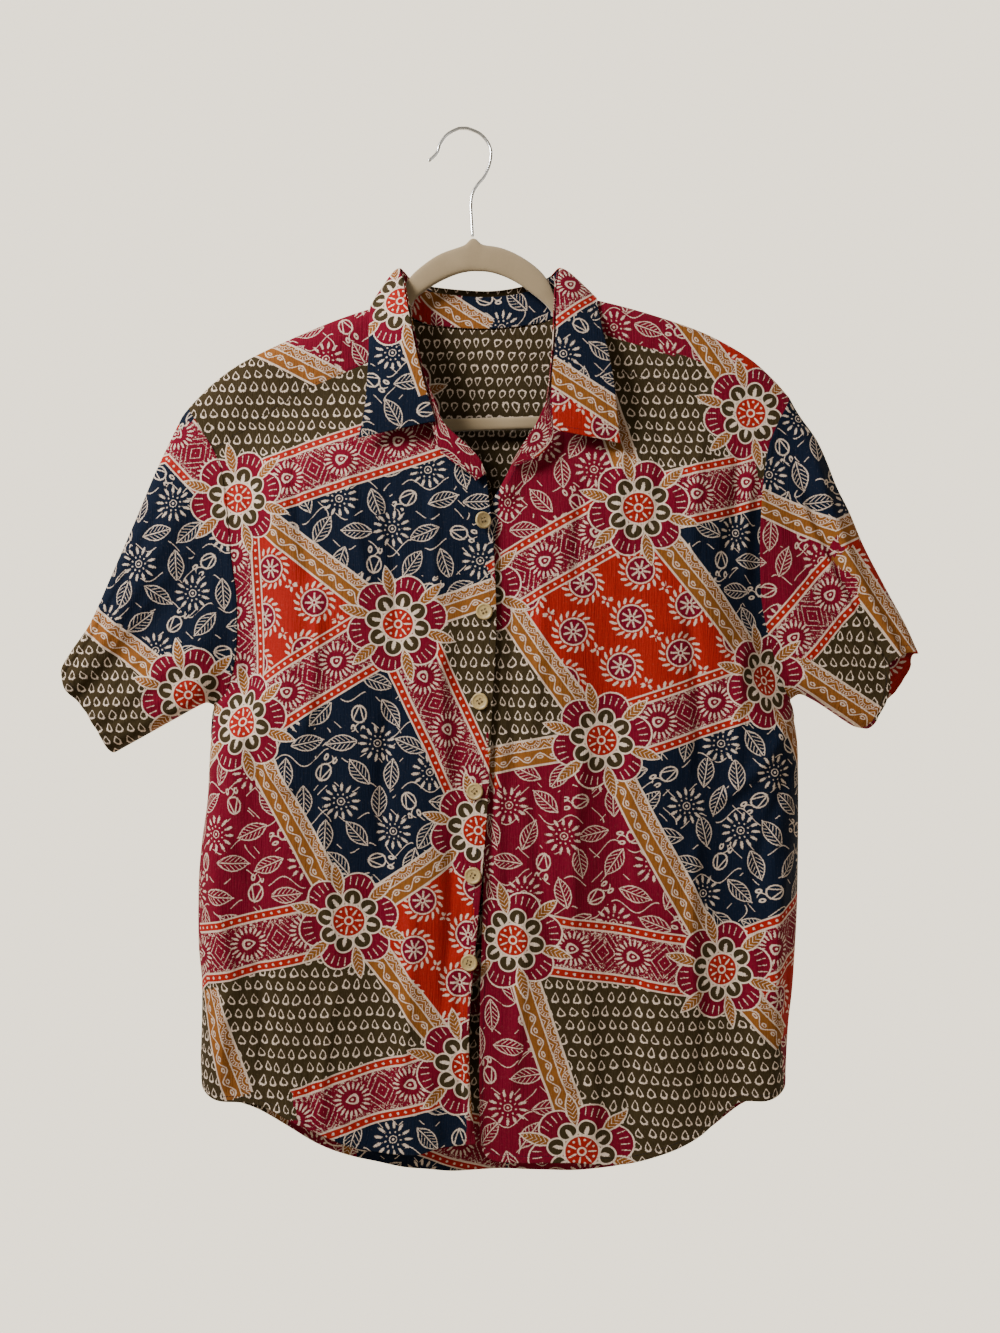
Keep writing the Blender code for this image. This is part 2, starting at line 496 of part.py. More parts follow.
def make_yoke():
    """The yoke, over both shoulders, with the neck left open."""
    wing = bunched(FRONT_COLUMNS)
    far_wing = [1.0 - share for share in reversed(wing)]
    neck = [0.0, 0.02, 0.07, 0.16, 0.32, 0.5, 0.68, 0.84, 0.93, 0.98, 1.0]
    right_back = [(x, z) for x, y, z in ARMHOLE_RIGHT_BACK if z >= RIGHT_BACK_SEAM]
    left_back = [(x, z) for x, y, z in ARMHOLE_LEFT_BACK if z >= LEFT_BACK_SEAM]
    right_front = [(x, z) for x, y, z in ARMHOLE_RIGHT_FRONT if z >= RIGHT_FRONT_SEAM]
    left_front = [(x, z) for x, y, z in ARMHOLE_LEFT_FRONT if z >= LEFT_FRONT_SEAM]
    ridge = np.vstack([along(SHOULDER_RIGHT, wing), along(NECK_BACK, neck)[1:-1], along(SHOULDER_LEFT, far_wing)])
    seam = along(YOKE_BACK, np.interp(ridge[:, 0], (-254, 303), (0, 1)))
    drops = [0.0, 0.04, 0.12, 0.25, 0.5, 0.75, 1.0]
    count = len(ridge)
    right_edge = along(right_back, drops)
    left_edge = along(left_back, drops)
    lines = []
    for step in reversed(range(len(drops))):
        share = drops[step]
        line = []
        for column in range(count):
            u = column / (count - 1)
            point = (1 - share) * ridge[column] + share * seam[column]
            point = point + (1 - u) ** 6 * (right_edge[step] - (1 - share) * ridge[0] - share * seam[0])
            point = point + u ** 6 * (left_edge[step] - (1 - share) * ridge[-1] - share * seam[-1])
            full = lookup(LAYER_DEPTH, point[1], 2)
            full = EDGE_BACK_DEPTH + (full - EDGE_BACK_DEPTH) * smooth(min(u, 1 - u) / 0.08)
            turn = quarter_round(share * YOKE_BACK_TURN)
            if len(wing) <= column < count - len(wing):
                from_neck_side = min(ridge[column][0] - NECK_BACK[0][0], NECK_BACK[-1][0] - ridge[column][0])
                turn = max(turn, quarter_round(from_neck_side / NECK_TURN))
            y = full * turn
            lift = SEAM_HALF_GAP if step == len(drops) - 1 else 0.0
            line.append((point[0], y, point[1] + lift))
        lines.append(line)
    front_steps = [0.05, 0.14, 0.3, 0.55, 0.8, 1.0]
    wing_grids = {}
    for side, top, foot, start, end, columns in (
            ("right", SHOULDER_RIGHT, YOKE_FRONT_RIGHT, right_front, NECK_RIGHT, wing),
            ("left", SHOULDER_LEFT, YOKE_FRONT_LEFT, NECK_LEFT, left_front, far_wing)):
        wing_grids[side] = patch(top, foot, start, end, columns, [0.0] + front_steps)
    for step, share in enumerate(front_steps):
        line = []
        for column in range(count):
            if column < len(wing):
                x, z = wing_grids["right"][step + 1][column]
            elif column >= count - len(wing):
                x, z = wing_grids["left"][step + 1][column - count + len(wing)]
            else:
                x, z = ridge[column]
            y = -YOKE_LEDGE * yoke_front_rise(share)
            line.append((x, y, z + (SEAM_HALF_GAP if share == 1.0 else 0.0)))
        lines.append(line)
    back_rows = len(drops) - 1

    def in_neck(row, column):
        return row >= back_rows and len(wing) - 1 <= column < count - len(wing)

    return cloth_sheet("yoke", lines, (0, 1, 0), CRIMSON_PRINT, missing=in_neck)


def sleeve_grid(top, foot, hem_front, hem_back, arm_front, arm_back, outward, folds, depths, rows=9):
    """Rings of a flat-hanging sleeve, from the armhole to the hem."""
    shift = np.array([outward * ARMHOLE_GAP, 0.0, 0.0])
    arm_front = [np.array(point) + shift for point in arm_front]
    arm_back = [np.array(point) + shift for point in arm_back]
    top = [np.array(top[0]) + shift] + [np.array(point) for point in top[1:]]
    foot = [np.array(foot[0]) + shift] + [np.array(point) for point in foot[1:]]
    fractions = [0.0, 0.02, 0.055, 0.11, 0.19, 0.3, 0.43, 0.57, 0.7, 0.81, 0.89, 0.945, 0.98, 1.0]
    lengths = even(rows)
    front = patch(arm_front, hem_front, top, foot, fractions, lengths)
    back = patch(arm_back, hem_back, top, foot, fractions, lengths)
    grid = []
    for row, share in enumerate(lengths):
        line = []
        for column, point in enumerate(front[row]):
            height = 0.0
            for start, end, half_width, out in folds:
                middle = start + (end - start) * share
                height += out * math.exp(-((fractions[column] - middle) / half_width) ** 2)
            height *= smooth(share / SLEEVE_SETTLE) * smooth(fractions[column] / 0.1)
            height *= smooth((1 - fractions[column]) / 0.1)
            y = sleeve_depth(point[1], fractions[column], share, -depths[0], -depths[1])
            line.append((point[0], y - height, point[2]))
        for column in range(len(fractions) - 2, 0, -1):
            point = back[row][column]
            y = sleeve_depth(point[1], fractions[column], share, depths[2], depths[3])
            line.append((point[0], y, point[2]))
        grid.append(line)
    return grid


def sleeve_depth(armhole_y, fraction, share, at_armhole, at_hem):
    """Depth of a sleeve's layer, from the armhole's own to one that rounds over at both folds."""
    rounded = quarter_round(fraction / SLEEVE_ROUND) * quarter_round((1.0 - fraction) / SLEEVE_ROUND)
    rounded *= at_armhole + (at_hem - at_armhole) * share
    return armhole_y + (rounded - armhole_y) * smooth(share / SLEEVE_SETTLE)


def make_sleeves():
    """Both sleeves, as tubes that hang flat from the armholes."""
    right = sleeve_grid(SLEEVE_RIGHT_TOP, SLEEVE_RIGHT_FOOT, SLEEVE_RIGHT_HEM, SLEEVE_RIGHT_HEM_BACK,
                        ARMHOLE_RIGHT_FRONT, ARMHOLE_RIGHT_BACK, -1, SLEEVE_RIGHT_FOLDS, (20, 13, 12, 11))
    left = sleeve_grid(SLEEVE_LEFT_TOP, SLEEVE_LEFT_FOOT, SLEEVE_LEFT_HEM, SLEEVE_LEFT_HEM_BACK,
                       ARMHOLE_LEFT_FRONT, ARMHOLE_LEFT_BACK, 1, SLEEVE_LEFT_FOLDS, (20, 19, 12, 12))
    for name, grid, finish in (("sleeve_right", right, NAVY_PRINT), ("sleeve_left", left, CRIMSON_PRINT)):
        cloth_tube(name, grid, finish)


def cloth_tube(name, grid, finish):
    """A tube of cloth from rings of outer points."""
    columns = len(grid[0])
    points = [Vector(point) for line in grid for point in line]
    faces = []
    for row in range(len(grid) - 1):
        for column in range(columns):
            following = (column + 1) % columns
            faces.append([row * columns + column, row * columns + following,
                          (row + 1) * columns + following, (row + 1) * columns + column])
    middle = sum(points, Vector()) / len(points)
    outwards = 0.0
    for face in faces:
        corner, second, third = (points[face[index]] for index in (0, 1, 2))
        outwards += (second - corner).cross(third - corner).dot(corner - middle)
    if outwards < 0:
        faces = [list(reversed(face)) for face in faces]
    return place(name, thicken(points, faces, CLOTH), finish)


def make_collar_stand():
    """The stand, a band from the right front's top round the neck to the left front's top."""
    stations = along(STAND, even(42))
    lines = []
    for share in even(4):
        line = []
        for station in stations:
            seam = Vector(station[:3])
            upper = Vector(station[3:])
            line.append(clear_of_panels(seam.lerp(upper, share), STAND_LAY_ON))
        lines.append(line)
    return cloth_sheet("collar_stand", lines, (0, 1, 0), RED_PRINT)


def make_collar_leaf():
    """The leaf, from its roll on the stand down to its free edge and two points."""
    stations = along(LEAF, even(40))
    middle = Vector((*NECK_MIDDLE, 0))
    lines = []
    for share in [0.0, 0.08, 0.2, 0.4, 0.65, 0.85, 1.0]:
        line = []
        for station in stations:
            roll = Vector(station[:3])
            edge = Vector(station[3:6])
            out = Vector((edge.x - middle.x, edge.y - middle.y, 0)).normalized()
            roll = roll + out * ROLL_GAP + Vector((0, 0, ROLL_GAP))
            crest = roll + out * CREST_OUT + Vector((0, 0, station[6]))
            point = roll.lerp(crest, share).lerp(crest.lerp(edge, share), share)
            line.append(clear_of_panels(point, LAY_ON + (LEAF_OVER_STAND - LAY_ON) * smooth(1.3 - 3 * share)))
        lines.append(line)
    return cloth_sheet("collar_leaf", lines, (0, 1, 0), NAVY_PRINT)


def clear_of_panels(point, lay_on):
    """Hold a point of the collar outside the front or the yoke that it lies on."""
    x, y, z = point
    side = "front_right" if x < NECK_MIDDLE[0] else "front_left"
    yoke = YOKE_FRONT_RIGHT if side == "front_right" else YOKE_FRONT_LEFT
    if NECK_RIGHT[0][0] < x < NECK_LEFT[0][0] and y > NECK_INSIDE:
        return Vector(point)
    if z < lookup(yoke, x):
        y = min(y, front_depth(side, x, z) - lay_on)
    elif y < 0.0:
        y = min(y, yoke_front_depth(x, z, lay_on) - lay_on * quarter_round((lookup_ridge(x) + lay_on - z) / lay_on))
    else:
        y = max(y, yoke_back_depth(x, z, lay_on) + lay_on * quarter_round((lookup_ridge(x) + lay_on - z) / lay_on))
    return Vector((x, y, z))


def lookup_ridge(x):
    """Height of the shoulder line."""
    return lookup(SHOULDER_RIGHT if x < BODY_MIDDLE else SHOULDER_LEFT, x)


def make_hanger():
    """The hanger's body: an oval section swept round the arch, both arms and the bar."""
    stations = list(ARCH)
    for ends, shoulder, nose, lean in ((ARM_RIGHT_ENDS, SHOULDER_LEFT, NOSE_RIGHT, -ARM_LEAN),
                                       (ARM_LEFT_ENDS, SHOULDER_RIGHT, NOSE_LEFT, ARM_LEAN)):
        arm = []
        for share in even(7):
            x = ends[0] + (ends[1] - ends[0]) * share
            z = lookup(shoulder, x) - ARM_BELOW_SHOULDER
            arm.append((x, z, x + lean, z - ARM_HEIGHT))
        arm += nose
        stations = stations + arm if lean < 0 else list(reversed(arm)) + stations
    foot_right, foot_left = stations[-1], stations[0]
    for share in even(8)[1:-1]:
        stations.append(tuple(right + (left - right) * share for right, left in zip(foot_right, foot_left)))
    angles = [math.tau * step / HANGER_SIDES for step in range(HANGER_SIDES)]
    section = [(math.cos(angle), math.sin(angle)) for angle in angles]
    work = bmesh.new()
    rings = []
    for outer_x, outer_z, inner_x, inner_z in stations:
        outer = Vector((outer_x, 0, outer_z))
        inner = Vector((inner_x, 0, inner_z))
        middle = (outer + inner) / 2
        half = (outer - inner) / 2
        ring = []
        for across, depth in section:
            across = math.copysign(abs(across) ** HANGER_SQUARE[0], across)
            depth = math.copysign(abs(depth) ** HANGER_SQUARE[1], depth)
            point = middle + half * across + Vector((0, HANGER_THICK / 2 * depth, 0))
            ring.append(work.verts.new(point))
        rings.append(ring)
    for number, ring in enumerate(rings):
        following = rings[(number + 1) % len(rings)]
        for step in range(len(ring)):
            after = (step + 1) % len(ring)
            work.faces.new([ring[step], ring[after], following[after], following[step]])
    bmesh.ops.recalc_face_normals(work, faces=work.faces)
    return place("hanger", work, VELVET)


def make_hook():
    """The bent wire hook, with flat ends."""
    points = along([(x, 0, z) for x, z in HOOK], even(30))
    work = bmesh.new()
    rings = []
    for number, point in enumerate(points):
        before = points[max(number - 1, 0)]
        after = points[min(number + 1, len(points) - 1)]
        run = Vector(after - before).normalized()
        depth = Vector((0, 1, 0))
        out = run.cross(depth)
        ring = []
        for side in range(HOOK_SIDES):
            angle = math.tau * side / HOOK_SIDES
            offset = out * math.cos(angle) + depth * math.sin(angle)
            ring.append(work.verts.new(Vector(point) + offset * HOOK_WIRE / 2))
        rings.append(ring)
    for ring, following in zip(rings, rings[1:]):
        for side in range(HOOK_SIDES):
            after = (side + 1) % HOOK_SIDES
            work.faces.new([ring[side], ring[after], following[after], following[side]])
    work.faces.new(rings[0])
    work.faces.new(rings[-1])
    bmesh.ops.recalc_face_normals(work, faces=work.faces)
    return place("hanger_hook", work, STEEL)


def make_buttons():
    """Six turned buttons with a raised rim, standing on the right front."""
    radius = BUTTON_WIDE / 2
    # Columns: radius, height above the cloth
    profile = [(0, 0.0), (radius - 1.2, 0.0), (radius, 1.0), (radius - 0.3, 2.3), (radius - 1.0, BUTTON_THICK),
               (radius - 2.2, 2.2), (0, 1.9)]
    for number, (x, z, turn, gap) in enumerate(BUTTONS, start=1):
        work = bmesh.new()
        verts = [work.verts.new((across, 0, -height)) for across, height in profile]
        edges = [work.edges.new(pair) for pair in zip(verts, verts[1:])]
        bmesh.ops.spin(work, geom=verts + edges, cent=(0, 0, 0), axis=(0, 0, 1), angle=math.tau,
                       steps=BUTTON_FACETS)
        bmesh.ops.remove_doubles(work, verts=work.verts, dist=0.001)
        surface = front_depth("front_right", x, z)
        reach = radius - 1.0
        slope = (front_depth("front_right", x + reach, z) - front_depth("front_right", x - reach, z)) / (2 * reach)
        bulge = max(surface + slope * across - front_depth("front_right", x + across, z + up)
                    for across in (-radius, 0, radius) for up in (-radius, 0, radius))
        stand_off = gap + bulge + radius * math.sin(math.radians(turn))
        turned = Matrix.Rotation(math.atan(slope) + math.radians(turn), 4, "Z") @ Matrix.Rotation(-math.pi / 2, 4, "X")
        move = Matrix.Translation((x, surface - stand_off, z)) @ turned
        bmesh.ops.transform(work, matrix=move, verts=work.verts)
        bmesh.ops.recalc_face_normals(work, faces=work.faces)
        place("button_%d" % number, work, PALE_WOOD)


for leftover in list(bpy.data.objects):
    bpy.data.objects.remove(leftover)

make_hanger()
make_hook()
make_back()
make_yoke()
make_front("front_right", YOKE_FRONT_RIGHT, SIDE_RIGHT, EDGE_RIGHT, HEM_RIGHT, NAVY_PRINT)
make_front("front_left", YOKE_FRONT_LEFT[::-1], SIDE_LEFT, EDGE_LEFT, HEM_LEFT, RED_PRINT)
make_sleeves()
make_collar_stand()
make_collar_leaf()
make_buttons()
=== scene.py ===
"""A short-sleeved button-up shirt in printed cotton gauze, hanging unbuttoned on a velvet hanger.

Lengths are in millimetres until a mesh is made, with the inner top of the hanger's hook as the origin.
X runs to the right as one faces the shirt's front, Y away from the viewer and Z up.
"""
import math

import bmesh
import bpy
import numpy as np
from mathutils import Matrix, Vector


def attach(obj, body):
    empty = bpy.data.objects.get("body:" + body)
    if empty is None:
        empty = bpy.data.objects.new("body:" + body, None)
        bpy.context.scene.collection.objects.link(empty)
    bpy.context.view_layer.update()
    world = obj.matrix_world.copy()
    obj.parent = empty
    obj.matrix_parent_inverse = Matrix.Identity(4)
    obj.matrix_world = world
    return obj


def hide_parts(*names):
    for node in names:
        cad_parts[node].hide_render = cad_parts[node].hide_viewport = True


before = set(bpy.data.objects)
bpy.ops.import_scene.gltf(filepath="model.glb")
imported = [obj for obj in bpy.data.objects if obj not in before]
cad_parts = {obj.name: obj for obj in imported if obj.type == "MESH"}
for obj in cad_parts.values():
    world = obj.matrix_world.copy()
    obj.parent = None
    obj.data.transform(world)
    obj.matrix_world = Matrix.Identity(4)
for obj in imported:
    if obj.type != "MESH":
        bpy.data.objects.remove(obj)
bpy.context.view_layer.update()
MM = 0.001

# The hanger: one flat moulded body, flocked all over with beige velvet.
# It is moulded in one piece, with a neck arch, two sloping arms and a bar for trousers.
FLOCK_PALE = (0.29, 0.215, 0.12, 1.0)
FLOCK_DARK = (0.17, 0.12, 0.062, 1.0)
ROUNDING = 2


def add_object(name, data):
    """A new object in the scene."""
    made = bpy.data.objects.new(name, data)
    bpy.context.scene.collection.objects.link(made)
    return made


def finish_piece(piece, node):
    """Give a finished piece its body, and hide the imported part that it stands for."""
    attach(piece, "root")
    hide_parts(node)


def new_material(name, roughness, colour=(0.8, 0.8, 0.8, 1.0)):
    """A material with its shader, and the tree that its pattern is built in."""
    made = bpy.data.materials.new(name)
    made.use_nodes = True
    shader = made.node_tree.nodes["Principled BSDF"]
    shader.inputs["Roughness"].default_value = roughness
    shader.inputs["Base Color"].default_value = colour
    return made, shader, made.node_tree


def feed(tree, value, socket):
    """Give a node's input a plain value, a number of its tree or another node's output."""
    if isinstance(value, Number):
        value = value.socket
    if isinstance(value, bpy.types.NodeSocket):
        tree.links.new(value, socket)
    else:
        socket.default_value = value


class Number:
    """A number in a node tree, so that a pattern can be written as plain arithmetic."""

    def __init__(self, tree, socket):
        self.tree = tree
        self.socket = socket

    def step(self, operation, *others):
        node = self.tree.nodes.new("ShaderNodeMath")
        node.operation = operation
        for value, socket in zip((self,) + others, node.inputs):
            feed(self.tree, value, socket)
        return Number(self.tree, node.outputs[0])

    def __add__(self, other):
        return self.step("ADD", other)

    __radd__ = __add__

    def __sub__(self, other):
        return self.step("SUBTRACT", other)

    def __mul__(self, other):
        return self.step("MULTIPLY", other)

    def __truediv__(self, other):
        return self.step("DIVIDE", other)

    def __neg__(self):
        return self.step("MULTIPLY", -1.0)

    def __or__(self, other):
        """The larger of two numbers, which joins two masks."""
        return self.step("MAXIMUM", other)

    def __invert__(self):
        """The rest of a mask."""
        return -self + 1.0

    def size(self):
        return self.step("ABSOLUTE")

    def least(self, other):
        return self.step("MINIMUM", other)

    def repeat(self, pitch):
        """The place inside a repeat of this pitch, from minus half to plus half."""
        return (self + pitch / 2).step("FLOORED_MODULO", pitch) - pitch / 2

    def under(self, limit, soft=0.25):
        """1 where this number is under the limit and 0 where it is over, with a soft edge."""
        node = self.tree.nodes.new("ShaderNodeMapRange")
        node.interpolation_type = "SMOOTHSTEP"
        ends = {"From Min": limit, "From Max": limit + soft, "To Min": 1.0, "To Max": 0.0}
        for name, value in {"Value": self, **ends}.items():
            feed(self.tree, value, node.inputs[name])
        return Number(self.tree, node.outputs[0])

    def over(self, limit, soft=0.25):
        """1 where this number is over the limit, with a soft edge below it."""
        return (-self + limit).under(0.0, soft)

    def near(self, value, half_width, soft=0.25):
        """1 along a line where this number is the value."""
        return (self - value).size().under(half_width, soft)

    def kind(self, number):
        """1 where this number is the whole number."""
        return (self - number).size().step("LESS_THAN", 0.5)


def blend_colour(tree, mask, first, second):
    """The second colour where the mask is 1, and the first elsewhere."""
    node = tree.nodes.new("ShaderNodeMix")
    node.data_type = "RGBA"
    feed(tree, mask, node.inputs["Factor"])
    feed(tree, first, node.inputs[6])
    feed(tree, second, node.inputs[7])
    return node.outputs[2]


def noise(tree, scale, detail=2.0, rough=0.5, places=None):
    """A soft noise from 0 to 1 over the object's own places, or over the ones given."""
    node = tree.nodes.new("ShaderNodeTexNoise")
    node.inputs["Scale"].default_value = scale
    node.inputs["Detail"].default_value = detail
    node.inputs["Roughness"].default_value = rough
    if places is None:
        places = tree.nodes.new("ShaderNodeTexCoord").outputs["Object"]
    feed(tree, places, node.inputs["Vector"])
    return Number(tree, node.outputs["Fac"])


def bump(tree, shader, height, strength, distance):
    """Raise the surface by a height."""
    node = tree.nodes.new("ShaderNodeBump")
    node.inputs["Strength"].default_value = strength
    node.inputs["Distance"].default_value = distance
    feed(tree, height, node.inputs["Height"])
    feed(tree, node.outputs[0], shader.inputs["Normal"])


velvet, shader, tree = new_material("velvet_flock", 0.95)
shader.inputs["Sheen Weight"].default_value = 0.6
shader.inputs["Sheen Roughness"].default_value = 0.4
pile = noise(tree, 2600.0, 3.0, 0.7)
rubbed = noise(tree, 34.0, 4.0, 0.6)
shade = pile * 0.55 + rubbed * 0.6 - 0.08
feed(tree, blend_colour(tree, shade, FLOCK_DARK, FLOCK_PALE), shader.inputs["Base Color"])
bump(tree, shader, pile, 0.35, 0.4 * MM)

hanger = add_object("hanger_velvet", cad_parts["hanger"].data.copy())
work = bmesh.new()
work.from_mesh(hanger.data)
bmesh.ops.remove_doubles(work, verts=work.verts, dist=0.01 * MM)
bmesh.ops.join_triangles(work, faces=work.faces, angle_face_threshold=0.9, angle_shape_threshold=1.2)
work.to_mesh(hanger.data)
work.free()
hanger.data.materials.clear()
hanger.data.materials.append(velvet)
hanger.data.shade_smooth()
rounding = hanger.modifiers.new("rounding", "SUBSURF")
rounding.levels = rounding.render_levels = ROUNDING
finish_piece(hanger, "hanger")

# The hook: one length of bright steel wire, bent to a hook and set in the hump of the hanger's arch.
# Its tip is cut square and ground round.
WIRE = 3.2
WIRE_SIDES = 16
# Columns: x, z
HOOK = [
    (-32, -29), (-27, -24.5), (-23.5, -20), (-21.5, -13.5), (-15, -4.5), (-5, 1), (0, 1.6), (5, 1.2),
    (15, -3), (22, -10), (26, -19), (25, -31), (20, -43), (13.5, -51), (9, -59), (7.5, -69), (8, -82),
    (9, -99.3)]


def through(rows, steps=16):
    """Points of a smooth curve through the rows, as an array."""
    rows = np.array(rows, dtype=float)
    ends = np.vstack([2 * rows[0] - rows[1], rows, 2 * rows[-1] - rows[-2]])
    t = (np.arange(steps) / steps)[:, None]
    points = []
    for index in range(1, len(ends) - 2):
        before, start, end, after = ends[index - 1:index + 3]
        longest = 1.2 * np.linalg.norm(end - start)
        leaving, arriving = (end - before) / 2, (after - start) / 2
        leaving = leaving * min(1.0, longest / max(np.linalg.norm(leaving), 1e-9))
        arriving = arriving * min(1.0, longest / max(np.linalg.norm(arriving), 1e-9))
        points.append(start + leaving * t + (3 * (end - start) - 2 * leaving - arriving) * t ** 2
                      + (2 * (start - end) + leaving + arriving) * t ** 3)
    return np.vstack(points + [rows[-1:]])


def along(rows, fractions):
    """Points at the given fractions of the curve's length."""
    points = through(rows)
    lengths = np.concatenate([[0.0], np.cumsum(np.linalg.norm(np.diff(points, axis=0), axis=1))])
    places = np.array(fractions) * lengths[-1]
    return np.column_stack([np.interp(places, lengths, column) for column in points.T])


def add_ring(work, middle, side, up, count):
    """A ring of points round a middle, as wide as its two directions are long."""
    turns = [math.tau * step / count for step in range(count)]
    return [work.verts.new(middle + side * math.cos(turn) + up * math.sin(turn)) for turn in turns]


def join_rings(work, rings, material=0):
    """Smooth faces between each ring and the one after it."""
    for ring, following in zip(rings, rings[1:]):
        for step in range(len(ring)):
            after = (step + 1) % len(ring)
            face = work.faces.new([ring[step], ring[after], following[after], following[step]])
            face.material_index = material
            face.smooth = True


steel, shader, tree = new_material("bright_wire", 0.24, (0.66, 0.66, 0.65, 1.0))
shader.inputs["Metallic"].default_value = 1.0
drawn = noise(tree, 900.0)
feed(tree, drawn * 0.25 + 0.12, shader.inputs["Roughness"])
bump(tree, shader, drawn, 0.12, 0.2 * MM)

run = along([(x, 0, z) for x, z in HOOK], np.linspace(0, 1, 150)) * MM
work = bmesh.new()
rings = []
for number, point in enumerate(run):
    ahead = Vector(run[min(number + 1, len(run) - 1)] - run[max(number - 1, 0)]).normalized()
    from_end = min(number, len(run) - 1 - number)
    radius = WIRE / 2 * MM * (0.8, 0.95, 1.0)[min(from_end, 2)]
    out = Vector((0, radius, 0))
    rings.append(add_ring(work, Vector(point), ahead.cross(out), out, WIRE_SIDES))
join_rings(work, rings)
for end in (rings[0], rings[-1]):
    work.faces.new(end).smooth = True
bmesh.ops.recalc_face_normals(work, faces=work.faces)
mesh = bpy.data.meshes.new("hook_wire")
work.to_mesh(mesh)
work.free()
mesh.set_sharp_from_angle(angle=math.radians(60))
mesh.materials.append(steel)
hook = add_object("hook_wire", mesh)
finish_piece(hook, "hanger_hook")

# The cloth's print: a batik patchwork of flower, sun, drop and leaf grounds, divided by ochre and crimson
# borders that meet in eight-petalled rosettes. The dye is rough at every line, and paler on the wrong side.
NAVY = (0.0022, 0.0055, 0.0145, 1.0)
CRIMSON = (0.118, 0.0015, 0.0115, 1.0)
OLIVE = (0.031, 0.0205, 0.0075, 1.0)
RED = (0.245, 0.0085, 0.0055, 1.0)
OCHRE = (0.175, 0.06, 0.0115, 1.0)
CREAM = (0.55, 0.43, 0.335, 1.0)
WORN = (0.3, 0.22, 0.16, 1.0)
WRONG_SIDE = (0.2, 0.13, 0.1, 1.0)
BLACK = (0.0, 0.0, 0.0, 1.0)
# Grounds by number, and the half widths of the two borders
GROUNDS = {"navy": 0, "crimson": 1, "olive": 2, "red": 3}
OCHRE_HALF = 12.5
CRIMSON_HALF = 27.0
BORDER_MARGIN = 4.0
ROSETTE_REACH = 54.0
# Steps between the flowers on navy and crimson ground, and between the suns on red ground
FLOWER_ROW = 27.0
FLOWER_COLUMN = 31.0
SUN_STEPS = ((50.0, 12.0), (-8.0, -43.0))


def scatter(first, second, seed):
    """A fixed number from 0 to 1 for each pair of whole numbers."""
    value = np.sin(first * 127.1 + second * 311.7 + seed * 74.7) * 43758.5453
    return value - np.floor(value)


def inside(x, z, corners):
    """Which points lie inside a closed outline."""
    within = np.zeros(x.shape, dtype=bool)
    for (x0, z0), (x1, z1) in zip(corners, corners[1:] + corners[:1]):
        crosses = (z0 > z) != (z1 > z)
        if z1 != z0:
            within ^= crosses & (x < (x1 - x0) * (z - z0) / (z1 - z0) + x0)
    return within


def nearest_flower(x, z):
    """Nearest flower or leaf of the navy and crimson grounds: its middle, turn and kind."""
    best = np.full(x.shape, 1e9)
    found = [np.zeros(x.shape) for part in range(4)]
    row, column = np.round(z / FLOWER_ROW), np.round(x / FLOWER_COLUMN)
    for down in (-1, 0, 1):
        for over in (-1, 0, 1, 2):
            j, i = row + down, column + over - 1
            middle_x = (i + 0.5 * (j % 2)) * FLOWER_COLUMN + 5.0 * (scatter(i, j, 1) - 0.5)
            middle_z = j * FLOWER_ROW + 5.0 * (scatter(i, j, 2) - 0.5)
            order = (i + 2 * j) % 5
            kind = np.where(order == 0, 1, np.where(order == 2, 3, 2))
            distance = np.hypot(x - middle_x, z - middle_z) - np.where(kind == 1, 5.0, 0.0)
            nearer = distance < best
            best = np.where(nearer, distance, best)
            for slot, value in enumerate((middle_x, middle_z, math.tau * scatter(i, j, 3), kind)):
                found[slot] = np.where(nearer, value, found[slot])
    return found


def nearest_sun(x, z):
    """Nearest sun or small flower of the red ground: its middle, turn and kind."""
    (ax, az), (bx, bz) = SUN_STEPS
    size = ax * bz - az * bx
    i = (x * bz - z * bx) / size
    j = (z * ax - x * az) / size
    sun_i, sun_j = np.round(i), np.round(j)
    small_i, small_j = np.floor(i) + 0.5, np.floor(j) + 0.5
    sun_x, sun_z = sun_i * ax + sun_j * bx, sun_i * az + sun_j * bz
    small_x, small_z = small_i * ax + small_j * bx, small_i * az + small_j * bz
    is_small = np.hypot(x - small_x, z - small_z) < np.hypot(x - sun_x, z - sun_z) - 13.0
    return [np.where(is_small, small_x, sun_x), np.where(is_small, small_z, sun_z),
            scatter(sun_i, sun_j, 4) * 0.8, np.where(is_small, 5, 4)]


